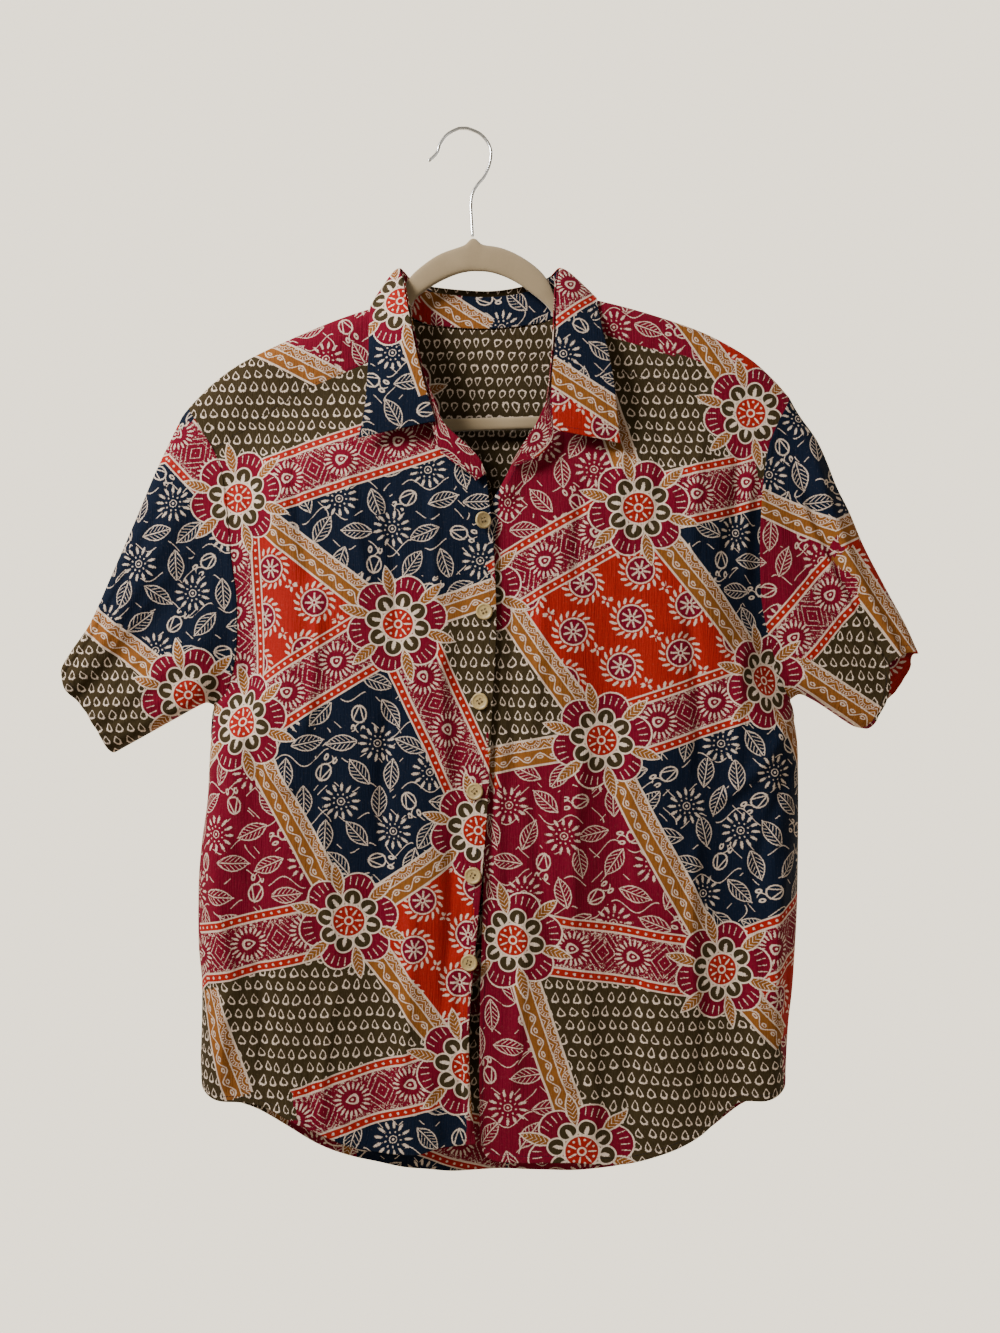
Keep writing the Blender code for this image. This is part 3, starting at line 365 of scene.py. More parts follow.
def print_layout(mesh, corners, layout):
    """Give each face corner its place in the print: ground, flower, border and rosette."""
    corner_x, corner_z = corners[..., 0], corners[..., 1]
    x, z = corner_x.mean(axis=1), corner_z.mean(axis=1)
    ground = np.full(x.shape, GROUNDS[layout["ground"]])
    for name, outline in layout["fills"]:
        ground = np.where(inside(x, z, outline), GROUNDS[name], ground)
    on_red = ground == GROUNDS["red"]
    choices = zip(nearest_flower(x, z), nearest_sun(x, z))
    middle_x, middle_z, turn, kind = (np.where(on_red, sun, flower) for flower, sun in choices)
    kind = np.where(ground == GROUNDS["olive"], 0, kind)
    dx, dz = corner_x - middle_x[:, None], corner_z - middle_z[:, None]
    cosine, sine = np.cos(turn)[:, None], np.sin(turn)[:, None]
    motif = np.stack([dx * cosine + dz * sine, dz * cosine - dx * sine, kind[:, None] + 0 * dx], axis=2)

    border = np.zeros(corner_x.shape + (3,))
    closest = np.ones(x.shape)
    for number, half, runs in ((1, OCHRE_HALF, layout["ochre"]), (2, CRIMSON_HALF, layout["crimson"])):
        for x0, z0, x1, z1 in runs:
            length = math.hypot(x1 - x0, z1 - z0)
            ahead_x, ahead_z = (x1 - x0) / length, (z1 - z0) / length
            run = (x - x0) * ahead_x + (z - z0) * ahead_z
            across = np.abs((z - z0) * ahead_x - (x - x0) * ahead_z) / (half + BORDER_MARGIN)
            chosen = (run > 0) & (run < length) & (across < closest)
            closest = np.where(chosen, across, closest)
            place = np.stack([(corner_x - x0) * ahead_x + (corner_z - z0) * ahead_z,
                              (corner_z - z0) * ahead_x - (corner_x - x0) * ahead_z,
                              number + 0 * corner_x], axis=2)
            border[chosen] = place[chosen]

    rosette = np.zeros(corner_x.shape + (3,))
    for rosette_x, rosette_z in layout["rosettes"]:
        chosen = np.hypot(x - rosette_x, z - rosette_z) < ROSETTE_REACH
        place = np.stack([corner_x - rosette_x, corner_z - rosette_z, 1 + 0 * corner_x], axis=2)
        rosette[chosen] = place[chosen]
    flat = np.stack([corner_x, corner_z, ground[:, None] + 0 * corner_x], axis=2)
    for name, values in (("place", flat), ("flower", motif), ("border", border), ("rosette", rosette)):
        stored = mesh.attributes.new("print_" + name, "FLOAT_VECTOR", "CORNER")
        stored.data.foreach_set("vector", values.astype(np.float32).ravel())


def read_print(tree, name):
    """One of the print's attributes, whole and as three numbers."""
    node = tree.nodes.new("ShaderNodeAttribute")
    node.attribute_name = "print_" + name
    parts = tree.nodes.new("ShaderNodeSeparateXYZ")
    tree.links.new(node.outputs["Vector"], parts.inputs[0])
    return node.outputs["Vector"], [Number(tree, output) for output in parts.outputs]


def length_of(first, second):
    """Distance of a point from its origin."""
    return (first * first + second * second).step("SQRT")


def petals(radius, angle, count):
    """Sideways distance from the middle of the nearest of some petals round a centre."""
    return angle.repeat(math.tau / count) * radius


def oval(first, second, half_length, half_width):
    """Under 1 inside an oval."""
    return length_of(first / half_length, second / half_width)


def petal_ring(radius, angle, count, middle, half_length, half_width):
    """Under 1 inside each of a ring of oval petals, whose middles lie at one radius."""
    return oval(radius - middle, petals(radius, angle, count), half_length, half_width)


def bulged(place, half_length, half_width):
    """Half width of a pointed leaf at a place along it, counted from its middle."""
    return (place / half_length) * (place / half_length) * -half_width + half_width


def draw_flowers(u, v, kind, rough):
    """Cream lines of the daisies, leaves, buds, suns and small flowers, and the suns' crimson discs."""
    radius = length_of(u, v)
    angle = v.step("ARCTAN2", u)
    daisy = petal_ring(radius, angle, 13, 12.8, 4.3, 1.5).under(0.8 + rough * 0.35, 0.3)
    daisy |= petal_ring(radius, angle, 9, 6.6, 1.1, 0.9).under(0.8 + rough * 0.4, 0.3)
    daisy |= radius.near(3.1, 0.35 + rough * 0.4, 0.4) | radius.under(0.9, 0.3)
    edge = v.size() - bulged(u, 14.0, 6.8)
    veins = (u - v.size() * 1.1).repeat(4.2).size().under(0.4 + rough * 0.35, 0.3)
    leaf = edge.size().under(0.42 + rough * 0.4, 0.5)
    leaf |= veins * edge.under(-0.6, 0.3) * v.size().step("GREATER_THAN", 1.3)
    leaf |= v.size().under(0.45 + rough * 0.3, 0.4) * (u - 1.0).size().under(14.0, 0.5)
    cup = oval(u + 1.0, v, 7.5, 6.0)
    bud = cup.near(1.0, 0.09 + rough * 0.06, 0.08)
    bud |= (v.size() - (u + 9.0) * 0.33).size().under(0.5 + rough * 0.3, 0.4) * cup.under(1.0)
    stem = v - (u * 0.42).step("SINE") * 2.4
    bud |= stem.size().under(0.5 + rough * 0.3, 0.4) * (u - 10.5).size().under(5.0)
    bud |= oval(u - 12.0, v.size() - 4.2, 2.6, 1.5).near(0.9, 0.28, 0.2)
    sun = radius.near(11.8, 0.65 + rough * 0.3, 0.4)
    sun |= petals(radius, angle, 8).size().under(0.8 + rough * 0.4, 0.4) * (radius - 5.8).size().under(2.8)
    sun |= radius.near(2.0, 0.4, 0.4)
    sun |= petal_ring(radius, angle + radius * 0.035, 17, 16.2, 3.0, 1.5).under(0.95 + rough * 0.25, 0.2)
    small = petal_ring(radius, angle, 4, 3.6, 2.4, 1.3).under(0.95 + rough * 0.3, 0.25)
    cream = daisy * kind.kind(1) | leaf * kind.kind(2) | bud * kind.kind(3)
    cream |= sun * kind.kind(4) | small * kind.kind(5)
    return cream, radius.under(11.4, 0.5) * kind.kind(4)


def draw_stems(x, z, u, v, kind, rough):
    """Thin cream stems that wander between the flowers of the navy and crimson grounds."""
    level = z + 13.5 + (x * 0.17).step("SINE") * 6.0 + (x * 0.071).step("SINE") * 3.0
    upright = x + (z * 0.16).step("SINE") * 7.0
    nearer = level.repeat(FLOWER_ROW).size().least(upright.repeat(FLOWER_COLUMN * 2).size())
    on_flower_ground = kind.step("LESS_THAN", 3.5) * kind.step("GREATER_THAN", 0.5)
    return nearer.under(0.45 + rough * 0.35, 0.4) * length_of(u, v).over(13.5) * on_flower_ground


def draw_drops(x, z, rough):
    """Cream outlines of slanting rows of drops."""
    row = (z / 12.0 + 0.5).step("FLOOR")
    shifted = x + z * 0.1 + row.step("FLOORED_MODULO", 2.0) * 4.8
    drop_x, drop_z = shifted.repeat(9.6), z.repeat(12.0)
    shape = length_of(drop_x * 1.12 / (-drop_z * 0.16 + 1.0), drop_z * 0.7)
    return shape.near(2.55, 0.5 + rough * 0.42, 0.35)


def draw_ochre(run, across, rough):
    """Cream lines of the ochre border: fans on one side and a running vine on the other."""
    s = run.repeat(22.0)
    from_edge = -across + 11.6
    fan = length_of(s, from_edge)
    fans = fan.near(8.4, 0.32 + rough * 0.25, 0.3) | fan.near(2.0, 0.35, 0.3)
    fans |= fan.near(5.0, 0.25 + rough * 0.25, 0.3)
    fans |= petals(fan, s.step("ARCTAN2", from_edge), 18).size().under(0.3, 0.3) * fan.near(6.8, 0.7)
    fans |= (across - s.size() * 0.9 + 0.5).repeat(3.6).size().under(0.25, 0.3) * fan.over(9.6, 0.3)
    vine = (across + 4.6 - (run * (math.tau / 22.0)).step("SINE") * 3.4).size()
    buds = oval((run + 5.5).repeat(11.0), across.size() - 4.4, 2.6, 1.5)
    vines = vine.under(0.55 + rough * 0.3, 0.4) | buds.near(0.8, 0.28 + rough * 0.2, 0.2)
    cream = across.size().near(11.8, 0.75, 0.4) | across.near(2.6, 0.5 + rough * 0.25, 0.4)
    return cream | fans * across.over(3.2) | vines * across.under(2.0) * across.over(-10.8)


def draw_crimson(run, across, rough, speckle):
    """The crimson border's cream lines, and the mask of its two red stripes."""
    side = across.size()
    s = run.repeat(52.0)
    eye = length_of(s, across)
    drop = length_of(across / (-s * 0.09 + 1.0), s * 0.8)
    marks = drop.near(3.6, 0.75 + rough * 0.3, 0.4) | drop.under(0.9, 0.3)
    marks |= petal_ring(eye, across.step("ARCTAN2", s), 20, 12.6, 3.4, 1.0).under(1.0 + rough * 0.4)
    between = -s.size() + 26.0
    marks |= (between + side * 0.8).repeat(5.6).size().under(0.42 + rough * 0.6, 0.4) * between.under(11.5)
    marks |= (speckle + side * 0.01).over(0.74, 0.04) * eye.over(14.5, 1.0)
    cream = side.near(18.7, 0.75, 0.3) | side.near(26.4, 0.6, 0.3) | marks * side.under(17.6)
    cream |= length_of(run.repeat(7.0), side - 22.6).under(1.25 + rough * 0.5, 0.3)
    return cream, side.near(22.6, 3.4, 0.3)


def draw_rosette(dx, dz, rough):
    """The rosette's masks: crimson scallops, ochre leaves, olive petals, red disc and cream lines."""
    radius = length_of(dx, dz)
    angle = dz.step("ARCTAN2", dx)
    scallop = petal_ring(radius, angle + 0.3 + math.pi / 6, 6, 30.5, 13.5, 17.5)
    crimson = scallop.under(1.0, 0.05)
    strokes = petals(radius, angle + 0.3, 42).size().under(0.35 + rough * 0.45, 0.4)
    cream = scallop.near(1.0, 0.045 + rough * 0.02, 0.03) | strokes * radius.near(36.5, 3.5, 0.5) * crimson
    from_vein = petals(radius, angle + 0.3, 6).size()
    leaf_edge = from_vein - bulged(radius - 38.0, 15.0, 4.8)
    ochre = leaf_edge.under(0.0, 0.3)
    veins = (radius - from_vein * 1.1).repeat(3.8).size().under(0.3 + rough * 0.3, 0.3)
    cream = cream * ~ochre | leaf_edge.size().under(0.6 + rough * 0.3, 0.4) | veins * leaf_edge.under(-1.0)
    petal = petal_ring(radius, angle + 0.2, 8, 21.6, 7.0, 8.2)
    petal_area = petal.under(1.06, 0.05)
    tick = petal_ring(radius, angle + 0.2, 8, 19.0, 4.6, 1.7).under(1.0 + rough * 0.3)
    cream = cream * ~petal_area | petal_area - petal.under(0.85, 0.05) | tick
    disc_area = radius.under(15.0, 0.3)
    disc = radius.under(13.4, 0.3)
    cream = cream * ~disc_area | disc_area - disc | radius.near(3.2, 0.6, 0.3)
    cream |= petal_ring(radius, angle, 7, 8.6, 3.6, 0.8).under(1.0 + rough * 0.3)
    cream |= petal_ring(radius, angle + 0.45, 7, 10.6, 0.9, 0.9).under(1.0)
    return crimson, ochre, petal_area * ~disc_area, disc, cream.least(1.0)


batik = bpy.data.node_groups.new("batik_print", "ShaderNodeTree")
for name, sort in (("Colour", "NodeSocketColor"), ("Ink", "NodeSocketFloat"), ("Crinkle", "NodeSocketFloat")):
    batik.interface.new_socket(name=name, in_out="OUTPUT", socket_type=sort)
flat, (x, z, ground) = read_print(batik, "place")
u, v, kind = read_print(batik, "flower")[1]
run, across, border = read_print(batik, "border")[1]
dx, dz, on_rosette = read_print(batik, "rosette")[1]
grain = noise(batik, 0.8, 3.0, 0.65, flat)
rough = (grain - 0.61) * 5.0
speckle = noise(batik, 0.42, 4.0, 0.75, flat)
slow = noise(batik, 0.045, places=flat)
flowers, discs = draw_flowers(u, v, kind, rough)
flowers |= draw_stems(x, z, u, v, kind, rough)
drops = draw_drops(x + slow * 9.0, z + slow * 6.0, rough) * ground.kind(GROUNDS["olive"])
on_ochre = across.size().under(OCHRE_HALF, 0.3) * border.kind(1)
ochre_lines = draw_ochre(run, across, rough) * on_ochre
on_crimson = across.size().under(CRIMSON_HALF, 0.3) * border.kind(2)
crimson_lines, stripes = draw_crimson(run, across, rough, speckle)
crimson_lines *= on_crimson
*rosette_areas, rosette_lines = [area * on_rosette for area in draw_rosette(dx, dz, rough)]
ink = ((flowers | drops) * ~on_ochre | ochre_lines) * ~on_crimson | crimson_lines | rosette_lines
colour = NAVY
for mask, dye in ((ground.kind(GROUNDS["crimson"]), CRIMSON), (ground.kind(GROUNDS["olive"]), OLIVE),
                  (ground.kind(GROUNDS["red"]), RED), (discs, CRIMSON), (flowers * 0.84 | drops, CREAM),
                  (on_ochre, OCHRE), (ochre_lines * 0.85, CREAM), (on_crimson, CRIMSON),
                  (stripes * on_crimson, RED), (crimson_lines * 0.86, CREAM),
                  *zip(rosette_areas, (CRIMSON, OCHRE, OLIVE, RED)), (rosette_lines, CREAM),
                  ((speckle - 0.56) * 0.4, WORN), ((-grain + 0.55) * 0.8, BLACK)):
    colour = blend_colour(batik, mask, colour, dye)
stretched = batik.nodes.new("ShaderNodeVectorMath")
stretched.operation = "MULTIPLY"
stretched.inputs[1].default_value = (1.0, 0.055, 1.0)
feed(batik, flat, stretched.inputs[0])
ribs = noise(batik, 0.75, 3.0, 0.6, stretched.outputs[0])
output = batik.nodes.new("NodeGroupOutput")
for name, value in (("Colour", colour), ("Ink", ink), ("Crinkle", ribs + grain * 0.25)):
    feed(batik, value, output.inputs[name])


def dyed_cloth(name, pale):
    """Crinkled cotton gauze with the print, paler between the lines on the wrong side."""
    made, shader, tree = new_material(name, 0.92)
    shader.inputs["Specular IOR Level"].default_value = 0.08
    printed = tree.nodes.new("ShaderNodeGroup")
    printed.node_tree = batik
    fade = Number(tree, printed.outputs["Ink"]) * -pale + pale
    faded = blend_colour(tree, fade, printed.outputs["Colour"], WRONG_SIDE)
    feed(tree, faded, shader.inputs["Base Color"])
    bump(tree, shader, Number(tree, printed.outputs["Crinkle"]), 0.75, 1.4 * MM)
    return made


printed_cotton = dyed_cloth("printed_cotton", 0.0)
cotton_wrong_side = dyed_cloth("cotton_wrong_side", 0.16)

# The back: one wide panel of printed cotton gauze, from the yoke's back seam to the curved hem.
# Its cloth is a single thin layer, turned under and stitched along the hem.
CLOTH = 0.8
BODY_MIDDLE = 30.0
BACK_WIDE = 545
BACK_LONG = 670
SIDE_ROUND = 34.0
ARMHOLE_EASE = 60.0
SEAM_HALF_GAP = 0.05
HEM_WIDE = 6.5
HEM_STEP = 0.5
CREASE_DEPTH = 2.1
CREASE_EASE = 14.0
# Distances of a grid's first lines from an edge that is hemmed, and from a side that rounds over
EDGE_STEPS = {"hem": [0, 0.8, 2.2, 4.2, 5.8, 6.6, 7.4, 9.0], "round": [0, 0.3, 0.9, 1.8, 3.0, 4.6, 6.6, 9.0]}

# Yoke's back seam and the back hem, from side to side. Columns: x, z
YOKE_BACK = [(-236, -296), (-100, -284), (22, -277), (160, -279), (295, -288)]
HEM_BACK = [
    (-241, -880), (-230, -904), (-214, -911), (-190, -920), (-142, -947), (-106, -962), (-70, -971),
    (-37, -974), (34, -975), (129, -973), (176, -964), (224, -942), (261, -914), (283, -902), (298, -880)]
# Armholes behind, from shoulder tip to underarm. Columns: x, y, z
ARMHOLE_RIGHT_BACK = [
    (-254, 0, -259), (-252.5, 4.5, -261), (-248, 8, -268), (-242, 10, -282), (-236, 10.5, -296),
    (-230, 12, -342), (-227, 12, -389), (-223, 12, -436), (-220, 10, -474), (-222, 7.5, -512),
    (-228, 4.5, -531), (-231, 0, -535)]
ARMHOLE_LEFT_BACK = [
    (303, 0, -250), (302.3, 4.5, -252), (300, 8, -259), (297, 10, -273), (295, 10.5, -288), (293, 12, -342),
    (292, 12, -389), (291, 12, -436), (292, 10, -474), (297, 7.5, -509), (302, 4.5, -526), (304, 0, -530)]
# Side seams from underarm to hem. Columns: x, z
SIDE_RIGHT = [
    (-231, -535), (-234, -586), (-236, -623), (-241, -660), (-244, -698), (-244, -752), (-241, -787),
    (-241, -826), (-242, -859), (-241, -880)]
SIDE_LEFT = [
    (304, -530), (309, -565), (310, -603), (310, -651), (309, -716), (306, -772), (304, -798), (301, -823),
    (299, -853), (298, -880)]
# Depth of the hanging layers. Columns: z, front y, back y
LAYER_DEPTH = [
    (-150, -14, 10), (-270, -26, 11.5), (-330, -34, 12.5), (-400, -37, 13), (-500, -38, 14),
    (-700, -38.5, 15), (-850, -39.5, 16), (-980, -40, 16)]
# Large folds of the back. Columns: top x, top z, foot x, foot z, half width, height out, bow
FOLDS_BACK = [
    (-195, -330, -205, -900, 20, 4, 0), (-140, -360, -132, -960, 22, -4, 0),
    (-72, -300, -80, -980, 20, 4.5, 0), (-16, -290, -12, -980, 17, -5, 0), (40, -290, 36, -980, 20, 5, 0),
    (96, -300, 104, -980, 21, -4, 0), (160, -330, 166, -970, 20, 4, 0), (226, -340, 236, -920, 22, 3.5, 0)]
# Small creases of the back, placed one by one. Columns as above
CREASES_BACK = [
    (-212, -560, -176, -700, 7, 1.6, 6), (-222, -590, -150, -660, 6, -1.4, 8),
    (-178, -420, -168, -600, 6, -1.6, -5), (-120, -330, -108, -520, 5, 1.4, 4),
    (-96, -520, -104, -760, 7, -1.8, 7), (-52, -330, -46, -470, 5, -1.5, -3),
    (-40, -560, -58, -830, 6, 1.7, -8), (8, -320, 14, -500, 4.5, 1.6, 3), (14, -610, 2, -900, 6, -1.6, 6),
    (62, -330, 70, -560, 5, -1.6, -4), (74, -650, 58, -930, 7, 1.8, 7), (122, -340, 128, -480, 5, 1.5, 3),
    (134, -520, 146, -800, 6, -1.8, -7), (190, -380, 186, -560, 6, -1.5, 4),
    (204, -560, 196, -820, 7, 1.6, -6), (262, -400, 256, -560, 6, -1.7, 5),
    (290, -560, 238, -650, 7, 1.8, -7), (276, -640, 262, -860, 6, -1.5, 5),
    (-190, -800, -120, -850, 6, 1.2, 5), (96, -850, 170, -880, 6, 1.2, -5),
    (-230, -740, -214, -880, 6, 1.6, 4), (-20, -880, 40, -900, 5, 1.0, 4)]
# Where the rosettes, borders and grounds lie on the body, in the flat print of the fronts. Columns: x, z
ROSETTES_RIGHT = [
    (-204, -346), (-57, -461), (-198, -549), (-102, -726), (3, -855), (15, -645), (-330, -640), (-330, -820),
    (-395, -430)]
ROSETTES_LEFT = [
    (160, -357), (128, -565), (50, -743), (231, -770), (264, -267), (280, -512), (106, -931), (14, -431),
    (390, -700), (380, -330)]
# Borders. Columns: start x, start z, end x, end z
BODY_OCHRE = [
    (-204, -346, -57, -461), (-57, -461, 34, -431), (34, -431, 128, -565), (25, -584, 128, -565),
    (-198, -549, -102, -726), (-102, -726, 15, -645), (-102, -726, 3, -855), (-229, -788, -198, -882),
    (128, -238, 160, -357), (160, -357, 280, -512), (128, -565, 231, -770), (50, -743, 106, -931),
    (231, -770, 289, -833), (-330, -640, -198, -549), (280, -512, 390, -700), (-395, -430, -204, -346),
    (-330, -640, -330, -820)]
BODY_CRIMSON = [
    (-204, -346, -19, -283), (-198, -549, -57, -461), (-57, -461, 16, -618), (-240, -758, -102, -726),
    (3, -855, -144, -900), (34, -431, 160, -357), (160, -357, 274, -328), (128, -565, 280, -512),
    (50, -743, 231, -770), (-212, -346, -205, -549), (-330, -820, -240, -758), (231, -770, 390, -700),
    (-395, -430, -330, -640)]
# Grounds and their outlines
BODY_FILLS = [("olive", [(-204, -346), (-19, -283), (-60, 0), (-300, 0), (-395, -430)]),
              ("navy", [(-395, -430), (-204, -346), (-198, -549), (-330, -640)]),
              ("red", [(-330, -640), (-395, -430), (-480, -430), (-480, -640)]),
              ("navy", [(-330, -640), (-330, -820), (-480, -820), (-480, -640)]),
              ("navy", [(-204, -346), (-57, -461), (34, -431), (34, -283), (-19, -283)]),
              ("red", [(-204, -346), (-57, -461), (-198, -549)]),
              ("navy", [(-198, -549), (-57, -461), (15, -645), (-102, -726)]),
              ("olive", [(-57, -461), (34, -431), (15, -645)]),
              ("red", [(-102, -726), (15, -645), (3, -855)]),
              ("crimson", [(-198, -549), (-102, -726), (-240, -758), (-330, -640)]),
              ("olive", [(-240, -758), (-102, -726), (3, -855), (-144, -900), (-300, -880)]),
              ("navy", [(3, -855), (-144, -900), (-144, -1000), (20, -1000)]),
              ("crimson", [(34, -431), (160, -357), (128, -238), (34, -238)]),
              ("olive", [(160, -357), (274, -328), (380, -330), (380, -150), (128, -150), (128, -238)]),
              ("navy", [(160, -357), (274, -328), (300, -420), (280, -512)]),
              ("red", [(34, -431), (160, -357), (280, -512), (128, -565)]),
              ("olive", [(34, -431), (128, -565), (25, -584), (15, -430)]),
              ("crimson", [(25, -584), (128, -565), (231, -770), (50, -743), (12, -720)]),
              ("navy", [(128, -565), (280, -512), (390, -700), (231, -770)]),
              ("crimson", [(50, -743), (106, -931), (60, -1000), (0, -1000), (12, -740)]),
              ("olive", [(50, -743), (231, -770), (289, -833), (300, -1000), (106, -1000), (106, -931)]),
              ("red", [(231, -770), (390, -700), (390, -833), (289, -833)])]
BODY_PRINT = {"ground": "crimson", "rosettes": ROSETTES_RIGHT + ROSETTES_LEFT, "ochre": BODY_OCHRE,
              "crimson": BODY_CRIMSON, "fills": BODY_FILLS}


def smooth(value):
    """Ease from 0 to 1 with level ends."""
    value = np.clip(value, 0.0, 1.0)
    return value * value * (3.0 - 2.0 * value)


def quarter_round(value):
    """Rise of a quarter circle from 0 to 1."""
    value = np.clip(value, 0.0, 1.0)
    return np.sqrt(1.0 - (1.0 - value) ** 2)


def lookup(rows, places, column=1, by=0):
    """One column of a smooth curve, read at places in another column that rises or falls steadily."""
    points = through(rows, 6)
    order = np.argsort(points[:, by])
    return np.interp(places, points[order, by], points[order, column])


def fold_height(folds, x, z):
    """Sum of the folds' heights at the points of a panel."""
    height = np.zeros(np.shape(x))
    for top_x, top_z, foot_x, foot_z, half_width, out, bow in folds:
        run_x, run_z = foot_x - top_x, foot_z - top_z
        length = math.hypot(run_x, run_z)
        share = ((x - top_x) * run_x + (z - top_z) * run_z) / length ** 2
        across = ((x - top_x) * run_z - (z - top_z) * run_x) / length
        across = across - bow * 4 * share * (1 - share)
        ends = smooth(share / 0.25 + 0.2) * smooth((1.1 - share) / 0.2)
        height += out * ends * np.exp(-(across / half_width) ** 2)
    return height


def shares(length, start, end, spacing=3.0):
    """Shares of a length at which a grid's lines lie, closest at its edges."""
    first = np.array(EDGE_STEPS[start], dtype=float)
    last = length - np.array(EDGE_STEPS[end], dtype=float)[::-1]
    count = max(int((last[0] - first[-1]) / spacing), 1)
    return np.concatenate([first, np.linspace(first[-1], last[0], count + 1)[1:-1], last]) / length


def patch(top, foot, start, end, columns, rows):
    """A grid of points between four boundary curves, rows by columns."""
    tops, feet = along(top, columns), along(foot, columns)
    starts, ends = along(start, rows)[:, None], along(end, rows)[:, None]
    u, v = np.array(columns)[None, :, None], np.array(rows)[:, None, None]
    corners = (1 - u) * (1 - v) * tops[0] + u * (1 - v) * tops[-1] + (1 - u) * v * feet[0] + u * v * feet[-1]
    return (1 - v) * tops + v * feet + (1 - u) * starts + u * ends - corners


def side_edge(armhole, seam, z):
    """The body's edge at each height: x and y of the armhole or the side seam."""
    above = z > seam[0][1]
    x = np.where(above, lookup(armhole, z, 0, 2), lookup(seam, z, 0, 1))
    return x, np.where(above, lookup(armhole, z, 1, 2), 0.0)


def side_rise(distance, z, underarm):
    """How far a layer has risen from its side edge to its full depth."""
    seam_share = smooth((underarm + 30.0 - z) / 75.0)
    at_armhole, at_seam = smooth(distance / ARMHOLE_EASE), quarter_round(distance / SIDE_ROUND)
    return (1.0 - seam_share) * at_armhole + seam_share * at_seam


def back_depth(x, z):
    """The outer y of the back panel."""
    right_x, right_y = side_edge(ARMHOLE_RIGHT_BACK, SIDE_RIGHT, z)
    left_x, left_y = side_edge(ARMHOLE_LEFT_BACK, SIDE_LEFT, z)
    on_right = x < BODY_MIDDLE
    edge_x, edge_y = np.where(on_right, right_x, left_x), np.where(on_right, right_y, left_y)
    folds = fold_height(FOLDS_BACK, x, z) * smooth((-280.0 - z) / 60.0)
    folds += CREASE_DEPTH * fold_height(CREASES_BACK, x, z) * smooth((np.abs(x - edge_x)) / CREASE_EASE)
    middle = lookup(LAYER_DEPTH, z, 2) + folds
    underarm = np.where(on_right, SIDE_RIGHT[0][1], SIDE_LEFT[0][1])
    return edge_y + (middle - edge_y) * side_rise(np.abs(x - edge_x), z, underarm)


def run_along(points, axis=1):
    """Distance along the lines of a grid, from each line's start."""
    steps = np.linalg.norm(np.diff(points, axis=axis), axis=2)
    return np.insert(np.cumsum(steps, axis=axis), 0, 0.0, axis=axis)


def turned_edge(points, *edges):
    """How much a turned and stitched edge stands up from the single cloth beside it."""
    across, down = run_along(points), run_along(points, 0)
    distances = {"end": across[:, -1:] - across, "top": down, "foot": down[-1:] - down}
    distance = np.minimum.reduce([distances[edge] for edge in edges])
    pressed = 0.25 * np.exp(-((distance - HEM_WIDE + 0.6) / 0.8) ** 2)
    return HEM_STEP * smooth((HEM_WIDE + 0.9 - distance) / 1.5) - pressed


# Stitches, and the grid lines of an edge that they run on, counted from the edge
STITCH_PITCH = 2.6
STITCH_LONG = 1.9
THREAD_THICK = 0.34
THREAD_SIDES = 5
STITCH_SEED = 7
HEM_LINE = 4
SEAM_LINE = 2
sewing_thread = new_material("sewing_thread", 0.8, (0.07, 0.02, 0.017, 1.0))[0]
stitching = bpy.data.node_groups.new("stitching", "GeometryNodeTree")
for name, socket_type in (("Seam", "Geometry"), ("Pitch", "Float"), ("Length", "Float"),
                          ("Thickness", "Float"), ("Seed", "Int"), ("Thread", "Material")):
    stitching.interface.new_socket(name=name, in_out="INPUT", socket_type="NodeSocket" + socket_type)
stitching.interface.new_socket(name="Stitches", in_out="OUTPUT", socket_type="NodeSocketGeometry")
given, steps, tangent, aligned, stitch, uneven, placed, real, coloured, result = (
    stitching.nodes.new(kind) for kind in (
        "NodeGroupInput", "GeometryNodeResampleCurve", "GeometryNodeInputTangent",
        "FunctionNodeAlignRotationToVector", "GeometryNodeMeshCylinder", "FunctionNodeRandomValue",
        "GeometryNodeInstanceOnPoints", "GeometryNodeRealizeInstances", "GeometryNodeSetMaterial",
        "NodeGroupOutput"))
steps.mode = "LENGTH"
aligned.axis = "Z"
stitch.inputs["Vertices"].default_value = THREAD_SIDES
uneven.inputs[2].default_value = 0.85
uneven.inputs[3].default_value = 1.1
for source, output, target, socket in (
        (given, "Seam", steps, "Curve"), (given, "Pitch", steps, "Length"),
        (steps, "Curve", placed, "Points"), (tangent, "Tangent", aligned, "Vector"),
        (aligned, "Rotation", placed, "Rotation"),
        (given, "Thickness", stitch, "Radius"), (given, "Length", stitch, "Depth"),
        (stitch, "Mesh", placed, "Instance"), (given, "Seed", uneven, "Seed"), (uneven, 1, placed, "Scale"),
        (placed, "Instances", real, "Geometry"), (real, "Geometry", coloured, "Geometry"),
        (given, "Thread", coloured, "Material"), (coloured, "Geometry", result, "Stitches")):
    stitching.links.new(source.outputs[output], target.inputs[socket])


def mesh_of(made, **options):
    """The mesh that an object's modifiers give."""
    depsgraph = bpy.context.evaluated_depsgraph_get()
    return bpy.data.meshes.new_from_object(made.evaluated_get(depsgraph), depsgraph=depsgraph, **options)


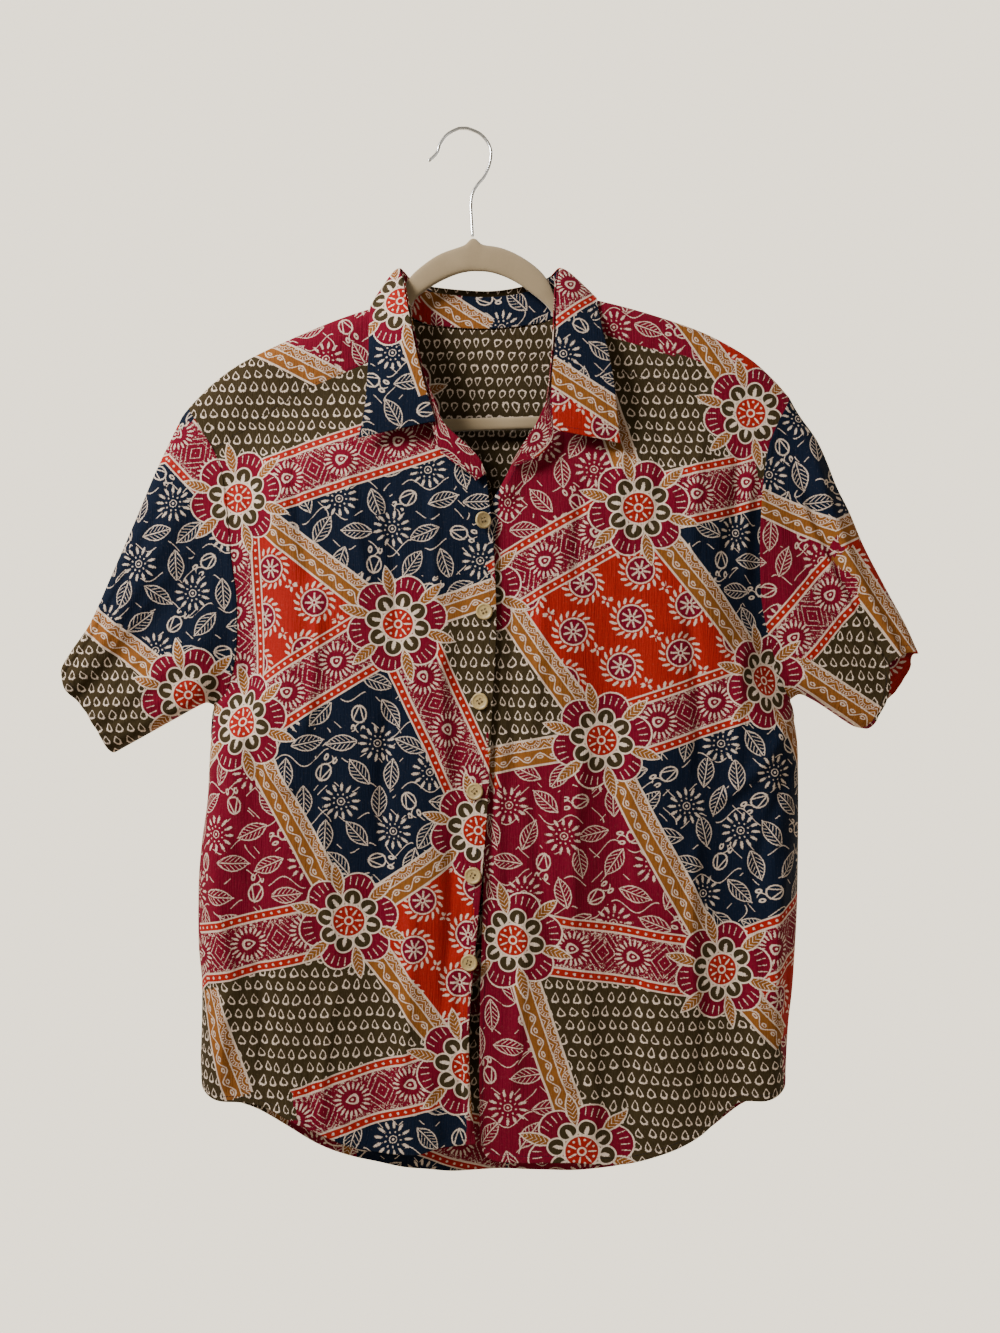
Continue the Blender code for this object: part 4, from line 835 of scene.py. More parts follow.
def sew(piece, seams):
    """Make a piece's thickness real and add a line of small stitches along each of its seams."""
    lines = bpy.data.curves.new(piece.name + "_seams", "CURVE")
    lines.dimensions = "3D"
    for seam in seams:
        line = lines.splines.new("POLY")
        line.points.add(len(seam) - 1)
        line.points.foreach_set("co", np.column_stack([seam * MM, np.ones(len(seam))]).ravel())
    sewn = add_object(piece.name + "_seams", lines)
    modifier = sewn.modifiers.new("stitches", "NODES")
    modifier.node_group = stitching
    values = {"Pitch": STITCH_PITCH * MM, "Length": STITCH_LONG * MM, "Thickness": THREAD_THICK / 2 * MM,
              "Seed": STITCH_SEED, "Thread": sewing_thread}
    for socket in stitching.interface.items_tree:
        if socket.name in values:
            modifier[socket.identifier] = values[socket.name]
    cloth, stitches = mesh_of(piece, preserve_all_data_layers=True), mesh_of(sewn)
    work = bmesh.new()
    work.from_mesh(cloth)
    cloth_faces = len(work.faces)
    work.from_mesh(stitches)
    work.faces.ensure_lookup_table()
    for face in work.faces[cloth_faces:]:
        face.material_index = 2
        face.smooth = True
    work.to_mesh(cloth)
    work.free()
    cloth.materials.clear()
    for finish in (printed_cotton, cotton_wrong_side, sewing_thread):
        cloth.materials.append(finish)
    piece.modifiers.clear()
    piece.data = cloth
    bpy.data.objects.remove(sewn)


def cloth_piece(name, points, flat, layout, inner_axis, seams, closed=False, missing=None):
    """A sewn cloth shell from a grid of outer points, carrying its place in the flat print.

    Its right side faces away from an upright axis, given as x and y.
    """
    rows, columns = points.shape[:2]
    count = columns if closed else columns - 1
    row, column = np.meshgrid(np.arange(rows - 1), np.arange(count), indexing="ij")
    row, column = row.ravel(), column.ravel()
    if missing is not None:
        kept = ~missing(row, column)
        row, column = row[kept], column[kept]
    here, below, following = row * columns, (row + 1) * columns, (column + 1) % columns
    faces = np.stack([here + column, here + following, below + following, below + column], axis=1)
    cloud = points.reshape(-1, 3)
    first, second, third = (cloud[faces[:, corner]] for corner in (0, 1, 2))
    facing = np.cross(second - first, third - first)[:, :2]
    if (facing * (first[:, :2] - np.array(inner_axis))).sum() < 0:
        faces = faces[:, ::-1]
    corners = faces.ravel()
    used, numbers = np.unique(corners, return_inverse=True)
    mesh = bpy.data.meshes.new(name)
    mesh.vertices.add(len(used))
    mesh.vertices.foreach_set("co", (cloud[used] * MM).ravel())
    mesh.loops.add(len(corners))
    mesh.loops.foreach_set("vertex_index", numbers.ravel())
    mesh.polygons.add(len(faces))
    mesh.polygons.foreach_set("loop_start", np.arange(0, len(corners), 4))
    mesh.update(calc_edges=True)
    mesh.validate()
    mesh.shade_smooth()
    print_layout(mesh, flat.reshape(-1, 2)[corners].reshape(-1, 4, 2), layout)
    made = add_object(name, mesh)
    wall = made.modifiers.new("cloth", "SOLIDIFY")
    wall.thickness = CLOTH * MM
    wall.offset = -1.0
    wall.use_even_offset = False
    wall.material_offset = 1
    sew(made, seams)
    return made


columns = shares(BACK_WIDE, "round", "round")
rows = shares(BACK_LONG, "hem", "hem")
right = [(x, z) for x, y, z in ARMHOLE_RIGHT_BACK if z <= YOKE_BACK[0][1]] + SIDE_RIGHT[1:]
left = [(x, z) for x, y, z in ARMHOLE_LEFT_BACK if z <= YOKE_BACK[-1][1]] + SIDE_LEFT[1:]
outline = patch(YOKE_BACK, HEM_BACK, right, left, columns, rows)
x, z = outline[..., 0], outline[..., 1]
points = np.stack([x, back_depth(x, z), z], axis=2)
turned = turned_edge(points, "foot")
points[..., 1] = np.maximum(points[..., 1] + turned * smooth(points[..., 1] / 8.0), SEAM_HALF_GAP)
points[0, :, 2] -= SEAM_HALF_GAP
middle = len(columns) // 2
run = run_along(points)
flat = np.stack([run[:, [middle]] - run - 100.0 - x[:, [middle]], z + 60.0], axis=2)
back = cloth_piece("back_panel", points, flat, BODY_PRINT, (0, -9999), [points[-1 - HEM_LINE]])
finish_piece(back, "back")

# The yoke: one piece over both shoulders, joining the back to the fronts and lying on the hanger's arms.
# It is cut in the same gauze, with the seams pressed towards it and stitched down.
WING_LONG = 225
NECK_LONG = 170
YOKE_BACK_DEEP = 80
YOKE_FRONT_DEEP = 55
YOKE_LEDGE = 14.5
EDGE_BACK_DEPTH = 10.5
YOKE_BACK_TURN = 2.2
YOKE_TURN_OVER = -366.0
NECK_TURN = 22.0
# Shoulder line on the hanger's arms. Columns: x, z
SHOULDER_RIGHT = [
    (-254, -259), (-245, -249.5), (-231, -236), (-212, -221.5), (-189, -209), (-152, -192), (-110, -175),
    (-62, -160)]
SHOULDER_LEFT = [
    (101, -155), (126, -159.5), (165, -169.5), (211, -184.5), (239, -197), (267, -214), (288, -233),
    (303, -250)]
# Front seams, neckline behind, and the neckline's front ends. Columns: x, z
YOKE_FRONT_RIGHT = [(-227, -302), (-190, -277), (-149, -249), (-112, -232), (-83, -219), (-55, -205)]
YOKE_FRONT_LEFT = [(100, -202), (126, -223), (163, -235), (208, -250), (250, -269), (281, -295)]
NECK_BACK = [(-62, -160), (-52, -171), (-28, -180), (22, -183), (70, -178), (92, -166), (101, -155)]
NECK_RIGHT = [(-62, -160), (-61, -183), (-55, -205)]
NECK_LEFT = [(101, -155), (103, -178), (100, -202)]
# Armholes in front, from shoulder tip to underarm. Columns: x, y, z
ARMHOLE_RIGHT_FRONT = [
    (-254, 0, -259), (-252.5, -7, -261.5), (-247, -12, -270), (-238, -14.3, -284), (-227, -15.5, -302),
    (-219, -17.5, -324), (-214, -20, -357), (-210, -20, -402), (-206, -18, -438), (-207, -15, -484),
    (-216, -10, -519), (-227, -5.5, -532), (-231, 0, -535)]
ARMHOLE_LEFT_FRONT = [
    (303, 0, -250), (301.5, -7, -252.5), (297, -12, -261), (289, -14.3, -276), (281, -15.5, -295),
    (277, -17, -313), (273, -20, -345), (271, -20, -388), (273, -18, -438), (281, -15, -474),
    (292, -10, -509), (300.5, -5.5, -526), (304, 0, -530)]
# Soft creases across the yoke. Columns: top x, top z, foot x, foot z, half width, height out, bow
CREASES_YOKE = [
    (-190, -215, -215, -285, 7, 0.9, 3), (-160, -200, -140, -245, 6, -0.8, 2),
    (-112, -180, -128, -236, 7, 0.8, -2), (-84, -170, -96, -222, 5, -0.6, 2),
    (128, -166, 142, -226, 6, 0.8, 3), (182, -178, 172, -236, 7, -0.8, -3), (224, -192, 244, -262, 7, 1.0, 3),
    (268, -220, 262, -272, 6, -0.9, 2)]
# The yoke's own print, in its front's outline carried on over the shoulder line
YOKE_PRINT = {
    "ground": "crimson",
    "rosettes": [(264, -267), (-66, -116), (-250, -60), (150, -90)],
    "ochre": [(-190, -200, -90, -252), (-250, -60, -180, -200), (150, -90, 264, -267)],
    "crimson": [(-250, -60, -66, -116), (150, -90, 320, -40)],
    "fills": [("olive", [(-280, -190), (-182, -190), (-90, -252), (-90, -320), (-280, -320)]),
              ("olive", [(100, -185), (300, -245), (300, -320), (100, -320)]),
              ("red", [(150, -90), (264, -267), (330, -267), (330, -40)]),
              ("olive", [(-66, -116), (-62, -215), (101, -215), (101, -120), (150, -90), (150, 10),
                         (-66, 10)])]}


def yoke_front_rise(share):
    """How far the yoke has come forward at a share of its way down from the shoulder line."""
    return quarter_round(np.clip(share * 1.6, 0.0, 1.0) ** 0.8)


def over_neck(row, column):
    """The part of the yoke's grid that the neck opening leaves out."""
    return (row >= back_rows) & (column >= len(wing) - 1) & (column < len(ridge) - len(wing))


wing = shares(WING_LONG, "round", "hem")
far_wing = 1.0 - wing[::-1]
neck = shares(NECK_LONG, "hem", "hem")
ridge = np.vstack([along(SHOULDER_RIGHT, wing), along(NECK_BACK, neck)[1:-1], along(SHOULDER_LEFT, far_wing)])
u = ((ridge[:, 0] - ridge[0, 0]) / (ridge[-1, 0] - ridge[0, 0]))[:, None]
seam = along(YOKE_BACK, u[:, 0])
drops = shares(YOKE_BACK_DEEP, "round", "hem")[::-1]
right_edge = along([(x, z) for x, y, z in ARMHOLE_RIGHT_BACK if z >= YOKE_BACK[0][1]], drops)
left_edge = along([(x, z) for x, y, z in ARMHOLE_LEFT_BACK if z >= YOKE_BACK[-1][1]], drops)
from_neck = np.minimum(ridge[:, 0] - NECK_BACK[0][0], NECK_BACK[-1][0] - ridge[:, 0])
in_opening = (np.arange(len(ridge)) >= len(wing)) & (np.arange(len(ridge)) < len(ridge) - len(wing))
neck_turn = np.where(in_opening, quarter_round(from_neck / NECK_TURN), 0.0)
lines, flats = [], []
for share, right_point, left_point in zip(drops, right_edge, left_edge):
    straight = (1 - share) * ridge + share * seam
    line = straight + (1 - u) ** 6 * (right_point - straight[0]) + u ** 6 * (left_point - straight[-1])
    full = lookup(LAYER_DEPTH, line[:, 1], 2)
    full = EDGE_BACK_DEPTH + (full - EDGE_BACK_DEPTH) * smooth(np.minimum(u, 1 - u)[:, 0] / 0.08)
    depth = full * np.maximum(quarter_round(share * YOKE_BACK_TURN), neck_turn)
    lines.append(np.column_stack([line[:, 0], depth, line[:, 1]]))
    flats.append(np.column_stack([line[:, 0], YOKE_TURN_OVER - line[:, 1]]))
back_rows = len(lines) - 1
front_steps = shares(YOKE_FRONT_DEEP, "round", "hem")
right_front = [(x, z) for x, y, z in ARMHOLE_RIGHT_FRONT if z >= YOKE_FRONT_RIGHT[0][1]]
left_front = [(x, z) for x, y, z in ARMHOLE_LEFT_FRONT if z >= YOKE_FRONT_LEFT[-1][1]]
right_wing = patch(SHOULDER_RIGHT, YOKE_FRONT_RIGHT, right_front, NECK_RIGHT, wing, front_steps)
left_wing = patch(SHOULDER_LEFT, YOKE_FRONT_LEFT, NECK_LEFT, left_front, far_wing, front_steps)
for number, share in list(enumerate(front_steps))[1:]:
    line = np.vstack([right_wing[number], ridge[in_opening], left_wing[number]])
    creased = fold_height(CREASES_YOKE, line[:, 0], line[:, 1]) * smooth(share * 2) * smooth((1 - share) * 4)
    depth = -YOKE_LEDGE * yoke_front_rise(share) - creased
    lines.append(np.column_stack([line[:, 0], depth, line[:, 1]]))
    flats.append(line)
points = np.array(lines)
points[[0, -1], :, 2] += SEAM_HALF_GAP
seams = [points[SEAM_LINE], points[-1 - SEAM_LINE, :len(wing)], points[-1 - SEAM_LINE, -len(wing):]]
yoke = cloth_piece("yoke_panel", points, np.array(flats), YOKE_PRINT, (24, 0), seams, missing=over_neck)
finish_piece(yoke, "yoke")

# The right front: its edge hangs in soft waves and carries the buttons.
# Both fronts are single gauze, with a narrow hem turned in at the front edge and at the foot.
FRONT_WIDE = 262
FRONT_LONG = 700
YOKE_EASE = 95.0
# The grid line where a front's side rounding ends, which sets the scale of its flat print
ROUNDED_LINES = 18
# Front edges from the yoke seam down the neckline to the hem. Columns: x, z
EDGE_RIGHT = [
    (-55, -205), (-44, -220), (-34, -238), (-25, -264), (-18, -279), (-10, -289), (2, -300), (16, -314),
    (22, -330), (25, -353), (28, -377), (31, -440), (31, -475), (27, -547), (25, -596), (20, -669),
    (12, -756), (8, -800), (7, -840), (9, -885), (13, -923)]
# Hems from side seam to front edge. Columns: x, z
HEM_RIGHT = [
    (-241, -880), (-221, -886), (-198, -887), (-178, -890), (-156, -898), (-131, -911), (-97, -926),
    (-68, -932), (-41, -933), (-19, -927), (13, -923)]
# Large folds of the fronts. Columns: top x, top z, foot x, foot z, half width, height out, bow
FOLDS_FRONT = [
    (-196, -400, -208, -560, 13, -6, 0), (-206, -560, -216, -860, 17, 4, 0),
    (-150, -520, -150, -930, 22, 4, 0), (-100, -330, -92, -700, 20, 3, 0), (-86, -600, -74, -960, 20, -4, 0),
    (-34, -420, -40, -950, 19, 3.5, 0), (4, -360, -6, -760, 13, -3, 0), (52, -306, 38, -350, 9, 5, 0),
    (84, -330, 96, -700, 21, 3.5, 0), (132, -450, 140, -960, 22, -4, 0), (176, -420, 190, -950, 24, 4, 0),
    (232, -500, 240, -900, 20, -4, 0), (262, -330, 268, -560, 16, 4, 0), (276, -600, 282, -880, 13, 4.5, 0),
    (-170, -890, -60, -940, 13, 4, 0)]
# Small creases of the right front, placed one by one. Columns as above
CREASES_RIGHT = [
    (-207, -330, -190, -450, 6, 1.4, -4), (-200, -480, -178, -600, 6, -1.7, 5),
    (-214, -540, -150, -610, 6, 1.8, 6), (-222, -580, -178, -700, 6, -1.6, 6),
    (-226, -640, -196, -800, 7, 1.7, 5), (-180, -300, -166, -400, 6, 1.2, -3),
    (-152, -290, -136, -420, 5, -1.3, 4), (-128, -420, -140, -560, 6, 1.5, -4),
    (-120, -600, -112, -760, 6, 1.4, 5), (-104, -300, -84, -420, 5, 1.1, 3),
    (-70, -330, -58, -480, 5, -1.3, -3), (-62, -520, -70, -680, 6, -1.6, 4),
    (-46, -700, -56, -880, 6, 1.5, -5), (-24, -330, -22, -440, 4.5, 1.2, 2),
    (-16, -470, -12, -600, 4.5, 1.3, 3), (-10, -640, -16, -800, 5, -1.4, -3),
    (-110, -780, -124, -905, 6, 1.5, 4), (-184, -740, -178, -870, 6, -1.5, -4),
    (-206, -780, -212, -875, 5, 1.4, 3), (-150, -860, -100, -905, 6, 1.2, 4),
    (-30, -860, -20, -920, 5, 1.3, 2), (-88, -470, -20, -500, 5, 0.9, 4), (0, -700, 2, -900, 4, -1.6, 3),
    (-4, -800, 6, -915, 4, 2.2, -2)]
# Buttons' places. Columns: x, z, turn away from the cloth about the vertical in degrees, gap to the cloth
BUTTONS = [
    (19, -369, 26, 0.1), (20.5, -450, 0, 0.2), (16.5, -530, 0, 0.3), (12, -610, 0, 0.3), (10.5, -685, 0, 0.3),
    (7, -762, 0, 0.45)]


def front_depth(side, x, z):
    """The outer y of a front panel before its small creases."""
    right = side == "front_right"
    armhole, seam = (ARMHOLE_RIGHT_FRONT, SIDE_RIGHT) if right else (ARMHOLE_LEFT_FRONT, SIDE_LEFT)
    edge_x, edge_y = side_edge(armhole, seam, z)
    yoke_seam = YOKE_FRONT_RIGHT if right else YOKE_FRONT_LEFT
    below_yoke = smooth((lookup(yoke_seam, x) - z) / YOKE_EASE)
    middle = (1.0 - below_yoke) * -YOKE_LEDGE + below_yoke * lookup(LAYER_DEPTH, z)
    middle -= below_yoke * fold_height(FOLDS_FRONT, x, z)
    lap = -2.0 * smooth((x + 40.0) / 50.0) if right else 2.6 * smooth((62.0 - x) / 40.0)
    return edge_y + (middle + lap * below_yoke - edge_y) * side_rise(np.abs(x - edge_x), z, seam[0][1])


def front_panel(name, rosettes, yoke_seam, armhole, side, edge, hem, creases):
    """One front panel, with stitches along its front edge and its hem."""
    arm_and_side = [(x, z) for x, y, z in armhole if z <= yoke_seam[0][1]] + side[1:]
    columns, rows = shares(FRONT_WIDE, "round", "hem"), shares(FRONT_LONG, "hem", "hem")
    outline = patch(yoke_seam, hem, arm_and_side, edge, columns, rows)
    x, z = outline[..., 0], outline[..., 1]
    edge_x = side_edge(armhole, side, z)[0]
    small = CREASE_DEPTH * fold_height(creases, x, z) * smooth(np.abs(x - edge_x) / CREASE_EASE)
    if name == "front_right":
        for button_x, button_z, turn, gap in BUTTONS:
            small *= smooth(np.hypot(x - button_x, z - button_z) / 10.0 - 0.9)
    points = np.stack([x, front_depth(name, x, z) - small, z], axis=2)
    turned = turned_edge(points, "end", "foot")
    points[..., 1] = np.minimum(points[..., 1] - turned * smooth(-points[..., 1] / 8.0), -SEAM_HALF_GAP)
    points[0, :, 2] -= SEAM_HALF_GAP
    run = run_along(points)
    run -= run[:, -1:]
    slack = (x[:, ROUNDED_LINES] - x[:, -1]) / run[:, ROUNDED_LINES]
    flat = np.stack([x[:, -1:] + run * slack[:, None], z], axis=2)
    seams = [points[:-HEM_LINE, -1 - HEM_LINE], points[-1 - HEM_LINE, :-HEM_LINE]]
    return cloth_piece(name + "_panel", points, flat, {**BODY_PRINT, "rosettes": rosettes}, (0, 9999), seams)


front_right = front_panel("front_right", ROSETTES_RIGHT, YOKE_FRONT_RIGHT, ARMHOLE_RIGHT_FRONT,
                          SIDE_RIGHT, EDGE_RIGHT, HEM_RIGHT, CREASES_RIGHT)
finish_piece(front_right, "front_right")

# The left front: the lower lap, a single layer that runs in under the right front's edge.
# It is the same piece the other way round, hemmed at its edge and foot.
# The columns of its tables are those of the right front's.
EDGE_LEFT = [
    (100, -202), (93, -222), (85, -240), (77, -257), (69, -275), (61, -291), (52, -305), (46, -316),
    (36, -336), (26, -354), (21, -377), (20, -440), (20, -565), (20, -672), (18, -744), (16, -836),
    (16, -925)]
HEM_LEFT = [
    (298, -880), (273, -886), (248, -888), (230, -902), (210, -918), (180, -932), (152, -942), (132, -944),
    (99, -941), (33, -941), (22, -936), (16, -925)]
# Small creases of the left front. Columns as above
CREASES_LEFT = [
    (268, -310, 258, -420, 6, 1.5, 4), (252, -300, 236, -400, 5, -1.2, -3), (220, -280, 206, -400, 6, 1.2, 3),
    (180, -270, 172, -380, 6, -1.2, -4), (150, -270, 140, -400, 5, 1.1, 3),
    (112, -330, 104, -420, 5, -1.2, 3), (70, -400, 62, -560, 6, 1.4, -4), (46, -420, 50, -600, 5, -1.6, 3),
    (66, -600, 84, -760, 6, -1.5, 5), (52, -680, 44, -880, 6, 1.6, -5), (112, -560, 100, -730, 6, 1.5, 5),
    (108, -780, 116, -920, 6, 1.5, -4), (152, -560, 160, -720, 6, 1.3, 5), (160, -760, 150, -900, 6, -1.5, 4),
    (200, -440, 212, -600, 6, -1.5, -5), (212, -640, 208, -800, 6, 1.6, 5),
    (222, -790, 216, -890, 5, -1.3, 3), (258, -470, 246, -600, 6, 1.7, 5), (294, -545, 230, -620, 6, 1.8, -7),
    (300, -580, 262, -700, 6, -1.7, 6), (296, -650, 280, -790, 6, 1.5, 5), (256, -720, 262, -860, 6, 1.6, -4),
    (36, -560, 34, -700, 4.5, 1.5, 2), (80, -860, 150, -905, 6, 1.2, -5), (300, -720, 292, -850, 5, -1.6, 3),
    (122, -420, 200, -470, 6, 0.9, 6)]
front_left = front_panel("front_left", ROSETTES_LEFT, YOKE_FRONT_LEFT[::-1], ARMHOLE_LEFT_FRONT,
                         SIDE_LEFT, EDGE_LEFT, HEM_LEFT, CREASES_LEFT)
finish_piece(front_left, "front_left")

# The right sleeve: a short tube set into the armhole and hanging flat beside the body.
# Its mouth is turned up in a narrow stitched hem.
SLEEVE_WIDE = 260
SLEEVE_LONG = 190
ARMHOLE_GAP = 0.1
SLEEVE_ROUND = 0.13
# The upper fold, the underarm fold and the hems. Columns: x, y, z
SLEEVE_RIGHT_TOP = [
    (-254, 0, -259), (-261, 0, -268), (-282, 0, -315), (-303, 0, -365), (-325, 0, -415), (-344, 0, -457),
    (-361, 0, -482), (-369, 0, -495)]
SLEEVE_RIGHT_FOOT = [(-231, 0, -535), (-240, 0, -533), (-272, 0, -550), (-297, 0, -564), (-324, 0, -579)]
SLEEVE_RIGHT_HEM = [(-369, 0, -495), (-365, -9, -517), (-341, -13, -547), (-324, 0, -579)]
SLEEVE_RIGHT_HEM_BACK = [(-369, 0, -495), (-362, 9, -518), (-340, 11, -548), (-324, 0, -579)]
# Folds, along from armhole to hem. Columns: start across, end across, half width, height out
SLEEVE_RIGHT_FOLDS = [
    (0.2, 0.28, 0.07, 3.5), (0.5, 0.42, 0.08, -3), (0.74, 0.66, 0.07, 3), (0.36, 0.34, 0.025, 0.9),
    (0.6, 0.55, 0.025, -0.9), (0.86, 0.8, 0.03, 1.1), (0.12, 0.15, 0.02, -0.8)]
SLEEVE_BACK_FOLDS = [(0.25, 0.3, 0.05, 1.6), (0.45, 0.48, 0.04, -1.5), (0.68, 0.6, 0.05, 1.6),
                     (0.8, 0.82, 0.03, -1)]
# The right sleeve's own print
SLEEVE_RIGHT_PRINT = {
    "ground": "navy",
    "rosettes": [(-204, -346), (-250, -525), (-420, -300)],
    "ochre": [(-400, -412, -250, -525), (-420, -300, -400, -412)],
    "crimson": [(-262, -285, -204, -346), (-420, -300, -262, -285)],
    "fills": [("olive", [(-400, -412), (-250, -525), (-250, -640), (-480, -640), (-480, -412)]),
              ("red", [(-420, -300), (-262, -285), (-262, -180), (-420, -180)]),
              ("red", [(-420, -300), (-400, -412), (-520, -440), (-540, -300)])]}


def unfolded(places, fold):
    """Places of a sleeve's back layer in the flat print, turned over the sleeve's upper fold."""
    start = fold[0]
    direction = (fold[-1] - start) / np.linalg.norm(fold[-1] - start)
    turned = []
    for group in (places, fold[:, None]):
        offset = group - start
        turned.append(start + 2 * (offset @ direction)[..., None] * direction - offset)
    return turned[0] + fold[:, None] - turned[1]


def sleeve_tube(name, layout, top, foot, hems, arms, outward, folds, depths):
    """A flat-hanging sleeve, from rings between armhole and hem, with stitches round its mouth."""
    shift = np.array([outward * ARMHOLE_GAP, 0.0, 0.0])
    top, foot = (np.vstack([np.array(curve[0]) + shift, np.array(curve[1:])]) for curve in (top, foot))
    fraction, share = shares(SLEEVE_WIDE, "round", "round"), shares(SLEEVE_LONG, "hem", "hem")
    rounded = quarter_round(fraction / SLEEVE_ROUND) * quarter_round((1.0 - fraction) / SLEEVE_ROUND)
    layers = []
    for number, wrinkles in enumerate((folds, SLEEVE_BACK_FOLDS)):
        at_armhole, at_hem = depths[number]
        points = patch(np.array(arms[number]) + shift, hems[number], top, foot, fraction, share)
        height = np.zeros(points.shape[:2])
        for start, end, half_width, out in wrinkles:
            middle = start + (end - start) * share[:, None]
            height += out * np.exp(-((fraction - middle) / half_width) ** 2)
        height *= smooth(share / 0.3)[:, None] * smooth(fraction / 0.1) * smooth((1 - fraction) / 0.1)
        full = rounded * (at_armhole + (at_hem - at_armhole) * share[:, None])
        depth = points[..., 1] + (full - points[..., 1]) * smooth(share / 0.3)[:, None]
        points[..., 1] = depth + math.copysign(1.0, at_armhole) * height
        layers.append(points)
    front, behind = layers
    step = turned_edge(front, "top", "foot")
    front[..., 1] -= step * smooth(-front[..., 1] / 5.0)
    behind[..., 1] += step * smooth(behind[..., 1] / 5.0)
    behind = behind[:, -2:0:-1]
    flat = np.concatenate([front[..., [0, 2]], unfolded(behind[..., [0, 2]], front[:, 0][:, [0, 2]])], axis=1)
    points = np.concatenate([front, behind], axis=1)
    mouth = points[-1 - HEM_LINE]
    seams = [np.vstack([mouth, mouth[:1]])]
    return cloth_piece(name, points, flat, layout, (outward * 300, 0), seams, closed=True)


sleeve_right = sleeve_tube("sleeve_right_tube", SLEEVE_RIGHT_PRINT, SLEEVE_RIGHT_TOP, SLEEVE_RIGHT_FOOT,
                           (SLEEVE_RIGHT_HEM, SLEEVE_RIGHT_HEM_BACK),
                           (ARMHOLE_RIGHT_FRONT, ARMHOLE_RIGHT_BACK), -1, SLEEVE_RIGHT_FOLDS,
                           ((-20, -13), (12, 11)))
finish_piece(sleeve_right, "sleeve_right")

# The left sleeve: the same pattern piece as the right one, pushed forward into a strong pleat.
# Its mouth stands open and shows the inside of its back layer.
SLEEVE_LEFT_TOP = [
    (303, 0, -250), (313, 0, -267), (329, 0, -292), (345, 0, -332), (357, 0, -356), (371, 0, -389),
    (391, 0, -427), (409, 0, -460), (421, 0, -487)]
SLEEVE_LEFT_FOOT = [
    (304, 0, -530), (313, 0, -525), (325, 0, -530), (338, 0, -538), (362, 0, -554), (374, 0, -557)]
SLEEVE_LEFT_HEM = [
    (421, 0, -487), (404, -14, -487), (390, -20, -497), (391, -21, -515), (384, -15, -534), (374, 0, -557)]
SLEEVE_LEFT_HEM_BACK = [(421, 0, -487), (421, 9, -500), (411, 12, -517), (396, 11, -534), (374, 0, -557)]
SLEEVE_LEFT_FOLDS = [
    (0.05, 0.27, 0.045, 6), (0.13, 0.37, 0.03, -2.5), (0.34, 0.5, 0.08, -3), (0.72, 0.72, 0.07, 3),
    (0.2, 0.4, 0.022, 1.4), (0.48, 0.6, 0.025, -1.0), (0.62, 0.66, 0.02, 0.9), (0.84, 0.86, 0.03, -1.0)]
# The left sleeve's own print
SLEEVE_LEFT_PRINT = {
    "ground": "crimson",
    "rosettes": [(268, -512), (440, -300)],
    "ochre": [(262, -345, 339, -379), (345, -395, 410, -487), (290, -490, 375, -547), (339, -379, 372, -364),
              (440, -300, 470, -420)],
    "crimson": [(268, -512, 352, -415)],
    "fills": [("navy", [(262, -345), (339, -379), (372, -364), (440, -330), (330, -200), (262, -200)]),
              ("olive", [(268, -512), (352, -415), (410, -487), (430, -600), (375, -547), (290, -490)]),
              ("red", [(339, -379), (372, -364), (440, -330), (520, -400), (460, -560), (410, -487)]),
              ("olive", [(440, -300), (470, -420), (560, -440), (540, -280)])]}
sleeve_left = sleeve_tube("sleeve_left_tube", SLEEVE_LEFT_PRINT, SLEEVE_LEFT_TOP, SLEEVE_LEFT_FOOT,
                          (SLEEVE_LEFT_HEM, SLEEVE_LEFT_HEM_BACK), (ARMHOLE_LEFT_FRONT, ARMHOLE_LEFT_BACK),
                          1, SLEEVE_LEFT_FOLDS, ((-20, -19), (12, 12)))
finish_piece(sleeve_left, "sleeve_left")

# The collar stand: a narrow band of two layers sewn to the neckline, open down the front.
# It stands up behind the neck and lies down flat over the fronts.
STAND_LONG = 560
STAND_HIGH = 30
STAND_LAY_ON = 1.9
STAND_RAISED = 1000.0
COLLAR_MIDDLE = 22.0
# From the right front's top to the left front's. Columns: seam x, seam y, seam z, upper x, upper y, upper z
STAND = [
    (13, -41.5, -334, 22, -41, -327), (7, -42, -327, 15.5, -41.5, -313), (-5, -42, -319, 2, -41, -299),
    (-15, -41, -311, -10, -40, -288), (-22, -40, -300, -17.5, -39, -279), (-31, -36, -264, -24, -38, -262),
    (-39, -28, -238, -33, -36, -238), (-52, -18, -208, -41, -33, -207), (-59, -15, -186, -46, -28, -182),
    (-60.8, -8, -168, -53, -15, -148), (-61, 0, -158.3, -56.5, 0, -131), (-55, 7.5, -165, -50, 9, -135),
    (-44, 10.5, -172.5, -38, 11, -143), (-28, 10.8, -178, -28, 12, -147), (22, 11, -181.3, 22, 13, -151),
    (72, 10.6, -176, 62, 11, -146), (88, 9.5, -168, 79, 9, -136), (95, 7, -161, 85, 7, -133),
    (100.3, 0, -153.6, 88, 0, -131), (100.3, -8, -163, 85, -16, -150), (100.8, -15, -182, 83, -28, -178),
    (97, -18, -206, 82, -33, -206), (86, -28, -236, 79, -36, -240), (79, -36, -260, 76, -38, -262),
    (82, -40, -290, 74, -39, -272), (77, -41, -303, 68, -40, -281), (67, -42, -313, 60, -41, -293),
    (56, -42, -318, 51, -41, -307), (47, -41.5, -321, 45, -41, -317)]
# The stand's own print, along the band
STAND_PRINT = {
    "ground": "crimson",
    "rosettes": [(-90, 1022)],
    "ochre": [(-26, 1032, 34, 998)],
    "crimson": [(180, 1010, 300, 1022)],
    "fills": [("red", [(-100, 990), (-20, 990), (-20, 1040), (-100, 1040)]),
              ("navy", [(10, 990), (110, 990), (110, 1040), (10, 1040)])]}


def by_side(x, right, left):
    """The right side's value or the left side's, by where a point lies."""
    return np.where(x < BODY_MIDDLE, right, left)


